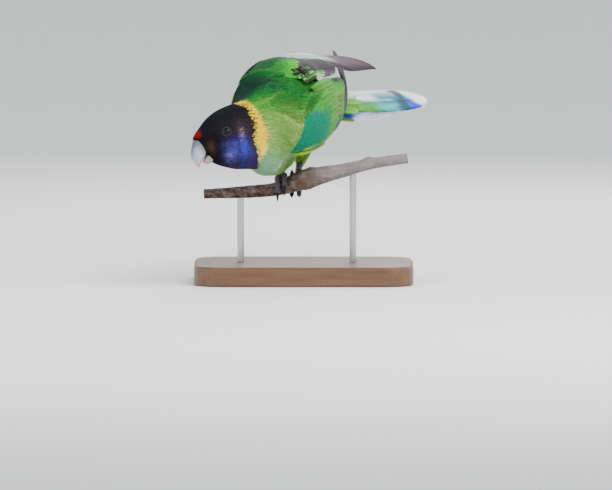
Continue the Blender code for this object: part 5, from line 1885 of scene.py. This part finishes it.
def billRings(table):
    keyed = [(k, *row) for k, row in enumerate(table)]
    turns = np.linspace(0, 2 * math.pi, billForm["around"], endpoint=False)
    s, c = np.sin(turns), np.cos(turns)
    flat = np.where(c > 0, np.abs(c) ** 0.8, np.abs(c) ** 0.55) * np.sign(c)
    across = np.abs(s) ** 0.85 * np.sign(s)
    rings = []
    for k in np.linspace(0, len(table) - 1, billForm["stations"]):
        topX, topZ, lowX, lowZ, width = curveAt(keyed, k)
        top, low = np.array((topX, 0, topZ)), np.array((lowX, 0, lowZ))
        middle, rise = (top + low) / 2, unit(top - low)
        half = np.linalg.norm(top - low) / 2
        growth = 1 + 0.010 * math.sin(k * 11) + 0.006 * math.sin(k * 23 + 1)
        ring = middle + np.outer(flat * half * growth, rise)
        ring[:, 1] += across * width * growth
        rings.append(ring)
    return np.array(rings)


def noseOnBill(rings, tint, stations, upward):
    # Two nostril pits and the swollen cere round them
    x, y, z = billForm["nostril"]
    for side in (1, -1):
        distance = np.linalg.norm(rings - np.array((x, side * y, z)), axis=-1)
        pit = np.exp(-(distance / billForm["nostrilSize"]) ** 2)
        rings = rings + unit(rings.mean(1, keepdims=True) - rings) * (pit * 0.09)[..., None]
        # the pits are painted near black, a painted shade in the recess
        tint = blendIn(tint, billHues["pit"], np.clip(pit * 1.6, 0, 1))
    cere = between(stations, 0.24, 0.15) * between(upward, -0.2, 0.3)
    rings = rings + unit(rings - rings.mean(1, keepdims=True)) * (cere * 0.035)[..., None]
    return rings, blendIn(tint, billHues["cere"], cere * (tint.sum(-1) >= 0.05) * 0.85)


def makeBill():
    horn = billMaterial()
    stations = np.linspace(0, 1, billForm["stations"])[:, None]
    upward = np.cos(np.linspace(0, 2 * math.pi, billForm["around"], endpoint=False))[None]
    for part in ("upper", "lower"):
        rings = billRings(billForm[part])
        tint = painted(
            np.broadcast_to(billHues["horn"], rings.shape), billHues,
            # bluish on the top, partly the horn's own blue-grey and partly painted shade
            ("culmen", np.clip(upward, 0, 1) ** 2 * between(stations, 0.90, 0.35) * 0.95),
            ("tip", between(stations, 0.66, 1.0) * 0.8),
            # darker on the underside of each part, a painted shade
            ("underside", between(upward, -0.45, -0.9) * 0.7),
            ("root", between(stations, 0.40, 0.22) * 0.6),
        )
        if part == "upper":
            rings, tint = noseOnBill(rings, tint, stations, upward)
        else:
            # the lower part darker and warmer, a painted shade under the upper bill
            tint = tint * np.array([0.82, 0.74, 0.70])
        points, faces = lofted(placed(headFrame, rings))
        tints = np.concatenate([tint.reshape(-1, 3), tint[0, :1], tint[-1, :1]])
        piece = makePiece("bill_" + part + "_horn", points, faces, horn, tints)
        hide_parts("bill_" + part)


makeBill()


# Eyes with lids
def eyeMaterial():
    material, nodes, links, shader = newMaterial("eyeball", (0.01, 0.008, 0.008), 0.03, specular=0.18)
    grain = noiseNode(nodes, links, objectPlace(nodes), 1800.0, 3.0)
    tone = mixColours(nodes, links, grain, (0.6, 0.6, 0.6), (1.4, 1.4, 1.4))
    baseColour(nodes, links, shader, attributeNode(nodes, "tint"), tone)
    return material


def lidMaterial():
    material, nodes, links, shader = newMaterial("lidSkin", shade(64, 64, 76), 0.6, specular=0.35)
    cells = cellNode(nodes, links, 1800.0)
    baseColour(nodes, links, shader, mixColours(nodes, links, cells, shade(36, 39, 54), shade(11, 10, 14)))
    addBump(nodes, links, shader, cells, 0.6, 0.0002)
    return material


def makeEyeball(hand, matrix, material):
    stations, count = eyeForm["stations"], eyeForm["around"]
    polar = np.linspace(0.02, math.pi - 0.02, stations)  # radians from the front of the eye
    turns = np.linspace(0, 2 * math.pi, count, endpoint=False)
    bulge = 1 + 0.035 * np.exp(-(polar / 0.55) ** 4)
    radius = eyeForm["radius"] * 0.985 * bulge
    rings = np.stack([
        np.outer(radius * np.sin(polar), np.cos(turns)),
        np.outer(radius * np.sin(polar), np.sin(turns)),
        np.outer(radius * np.cos(polar), np.ones(count)),
    ], -1)
    tint = painted(
        filled(eyeForm["iris"], stations), eyeForm,
        ("pupil", between(polar, 0.50, 0.42)),
        ("rim", between(polar, 0.78, 0.92)),
    )
    tint = np.repeat(tint[:, None], count, axis=1).reshape(-1, 3)
    points, faces = lofted(placed(matrix, rings))
    tints = np.concatenate([tint, tint[:1], tint[-1:]])
    ball = makePiece("eyeball_" + hand, points, faces, material, tints)
    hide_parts("eye_" + hand)


def makeLid(hand, matrix, material):
    # A beaded ring of bare skin round the eye
    count, section = eyeForm["lidGrid"]
    turns = np.linspace(0, 2 * math.pi, section, endpoint=False)
    rings = []
    for turn in np.linspace(0, 2 * math.pi, count, endpoint=False):
        size = eyeForm["lidSize"] * (1 + 0.09 * math.cos(turn * eyeForm["beads"]))
        centre = eyeForm["lidRadius"] * np.array((math.cos(turn), math.sin(turn) * 0.94, 0))
        ring = centre + np.outer(np.cos(turns) * size, (math.cos(turn), math.sin(turn), 0))
        ring[:, 2] += eyeForm["lidStand"] + np.sin(turns) * size * 0.9
        rings.append(ring)
    points = placed(matrix, np.array(rings)).reshape(-1, 3)
    quads = sheetFaces(count + 1, section, wrap=True) % (count * section)
    makePiece("lid_" + hand, points, [quads], material)


def makeEyes():
    eyeball, lidSkin = eyeMaterial(), lidMaterial()
    for hand, side in sides.items():
        matrix = eyeFrame(side)
        makeEyeball(hand, matrix, eyeball)
        makeLid(hand, matrix, lidSkin)


makeEyes()
print("bill and eyes ready")


# Stand: the solids keep their shapes and get finishes
def woodMaterial():
    material, nodes, links, shader = newMaterial(
        "standWood", shade(96, 66, 44), 0.42, specular=0.4, coat=0.15)
    shader.inputs["Coat Roughness"].default_value = 0.3
    place = stretchedPlace(nodes, links, (0.08, 1.0, 1.0))
    grain = noiseNode(nodes, links, place, 260.0, 8.0, 0.6)
    fine = noiseNode(nodes, links, place, 1400.0, 4.0)
    broad = mixColours(nodes, links, grain, shade(58, 36, 24), shade(128, 90, 60))
    tone = mixColours(nodes, links, fine, (0.75, 0.72, 0.70), (1.15, 1.15, 1.15))
    baseColour(nodes, links, shader, broad, tone)
    addBump(nodes, links, shader, fine, 0.15, 0.0002)
    return material


def steelMaterial():
    material, nodes, links, shader = newMaterial("standSteel", shade(190, 190, 194), 0.3, metallic=1.0)
    brush = noiseNode(nodes, links, stretchedPlace(nodes, links, (1.0, 1.0, 40.0)), 120.0, 5.0)
    rough = mathNode(nodes, links, "MULTIPLY_ADD", brush, 0.18, 0.22)
    links.new(rough, shader.inputs["Roughness"])
    return material


standWood, standSteel = woodMaterial(), steelMaterial()
finishes = {"stand_base": standWood, "stand_rod_left": standSteel, "stand_rod_right": standSteel}
for node, finish in finishes.items():
    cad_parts[node].data.materials.clear()
    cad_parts[node].data.materials.append(finish)

# Camera at the photograph's angle, four degrees above level, with the flat view of a long lens
view = {
    "lens": 800.0,
    "distance": 994.0,
    "elevation": 4.0,
    "aim": (1.17, -4.74),  # from the grip, right and up across the view; minus is down
    "sensor": 36.0,  # millimetres
    "clipEnd": 50.0,  # metres
}


def makeCamera():
    rise = math.radians(view["elevation"])
    up = Vector((0, math.sin(rise), math.cos(rise)))
    back = Vector((0, -math.cos(rise), math.sin(rise)))
    right, above = view["aim"]
    aim = grip + Vector((right, 0, 0)) + up * above
    data = bpy.data.cameras.new("view")
    data.lens = view["lens"]
    data.sensor_width = view["sensor"]
    data.clip_end = view["clipEnd"]
    camera = bpy.data.objects.new("view", data)
    camera.location = (aim + back * view["distance"]) * cm
    camera.rotation_euler = back.to_track_quat("Z", "Y").to_euler()
    bpy.context.scene.collection.objects.link(camera)
    bpy.context.scene.camera = camera


# Plain pale floor and soft light, in metres
studio = {
    "floor": 6.0,
    "floorDrop": 0.0002,
    "sky": shade(226, 230, 232),
    "skyStrength": 1.25,
    "target": (0.0, 0.0, 0.11),
    "lamps": {  # place, size, watts
        "key": ((0.55, -0.75, 1.05), 0.6, 22.0),
        "fill": ((-0.95, -0.80, 0.60), 0.5, 6.0),
        "rim": ((0.25, 0.95, 0.75), 0.6, 8.0),
    },
}


def floorMaterial():
    material, nodes, links, shader = newMaterial("paleFloor", shade(240, 240, 238), 0.8, specular=0.2)
    grain = noiseNode(nodes, links, objectPlace(nodes), 60.0, 3.0)
    colour = mixColours(nodes, links, grain, shade(238, 238, 236), shade(243, 243, 241))
    baseColour(nodes, links, shader, colour)
    return material


def makeStudio():
    far = studio["floor"]
    mesh = bpy.data.meshes.new("floor")
    mesh.from_pydata([(-far, -far, 0), (far, -far, 0), (far, far, 0), (-far, far, 0)], [], [(0, 1, 2, 3)])
    mesh.materials.append(floorMaterial())
    floor = bpy.data.objects.new("floor", mesh)
    floor.location.z = -studio["floorDrop"]
    bpy.context.scene.collection.objects.link(floor)
    world = bpy.data.worlds.new("studio")
    world.use_nodes = True
    background = world.node_tree.nodes["Background"]
    background.inputs["Color"].default_value = (*studio["sky"], 1.0)
    background.inputs["Strength"].default_value = studio["skyStrength"]
    bpy.context.scene.world = world
    for name, (place, size, watts) in studio["lamps"].items():
        data = bpy.data.lights.new(name, "AREA")
        data.size = size
        data.energy = watts
        lamp = bpy.data.objects.new(name, data)
        lamp.location = place
        lamp.rotation_euler = (Vector(place) - Vector(studio["target"])).to_track_quat("Z", "Y").to_euler()
        bpy.context.scene.collection.objects.link(lamp)


makeCamera()
makeStudio()
print("camera and studio ready")
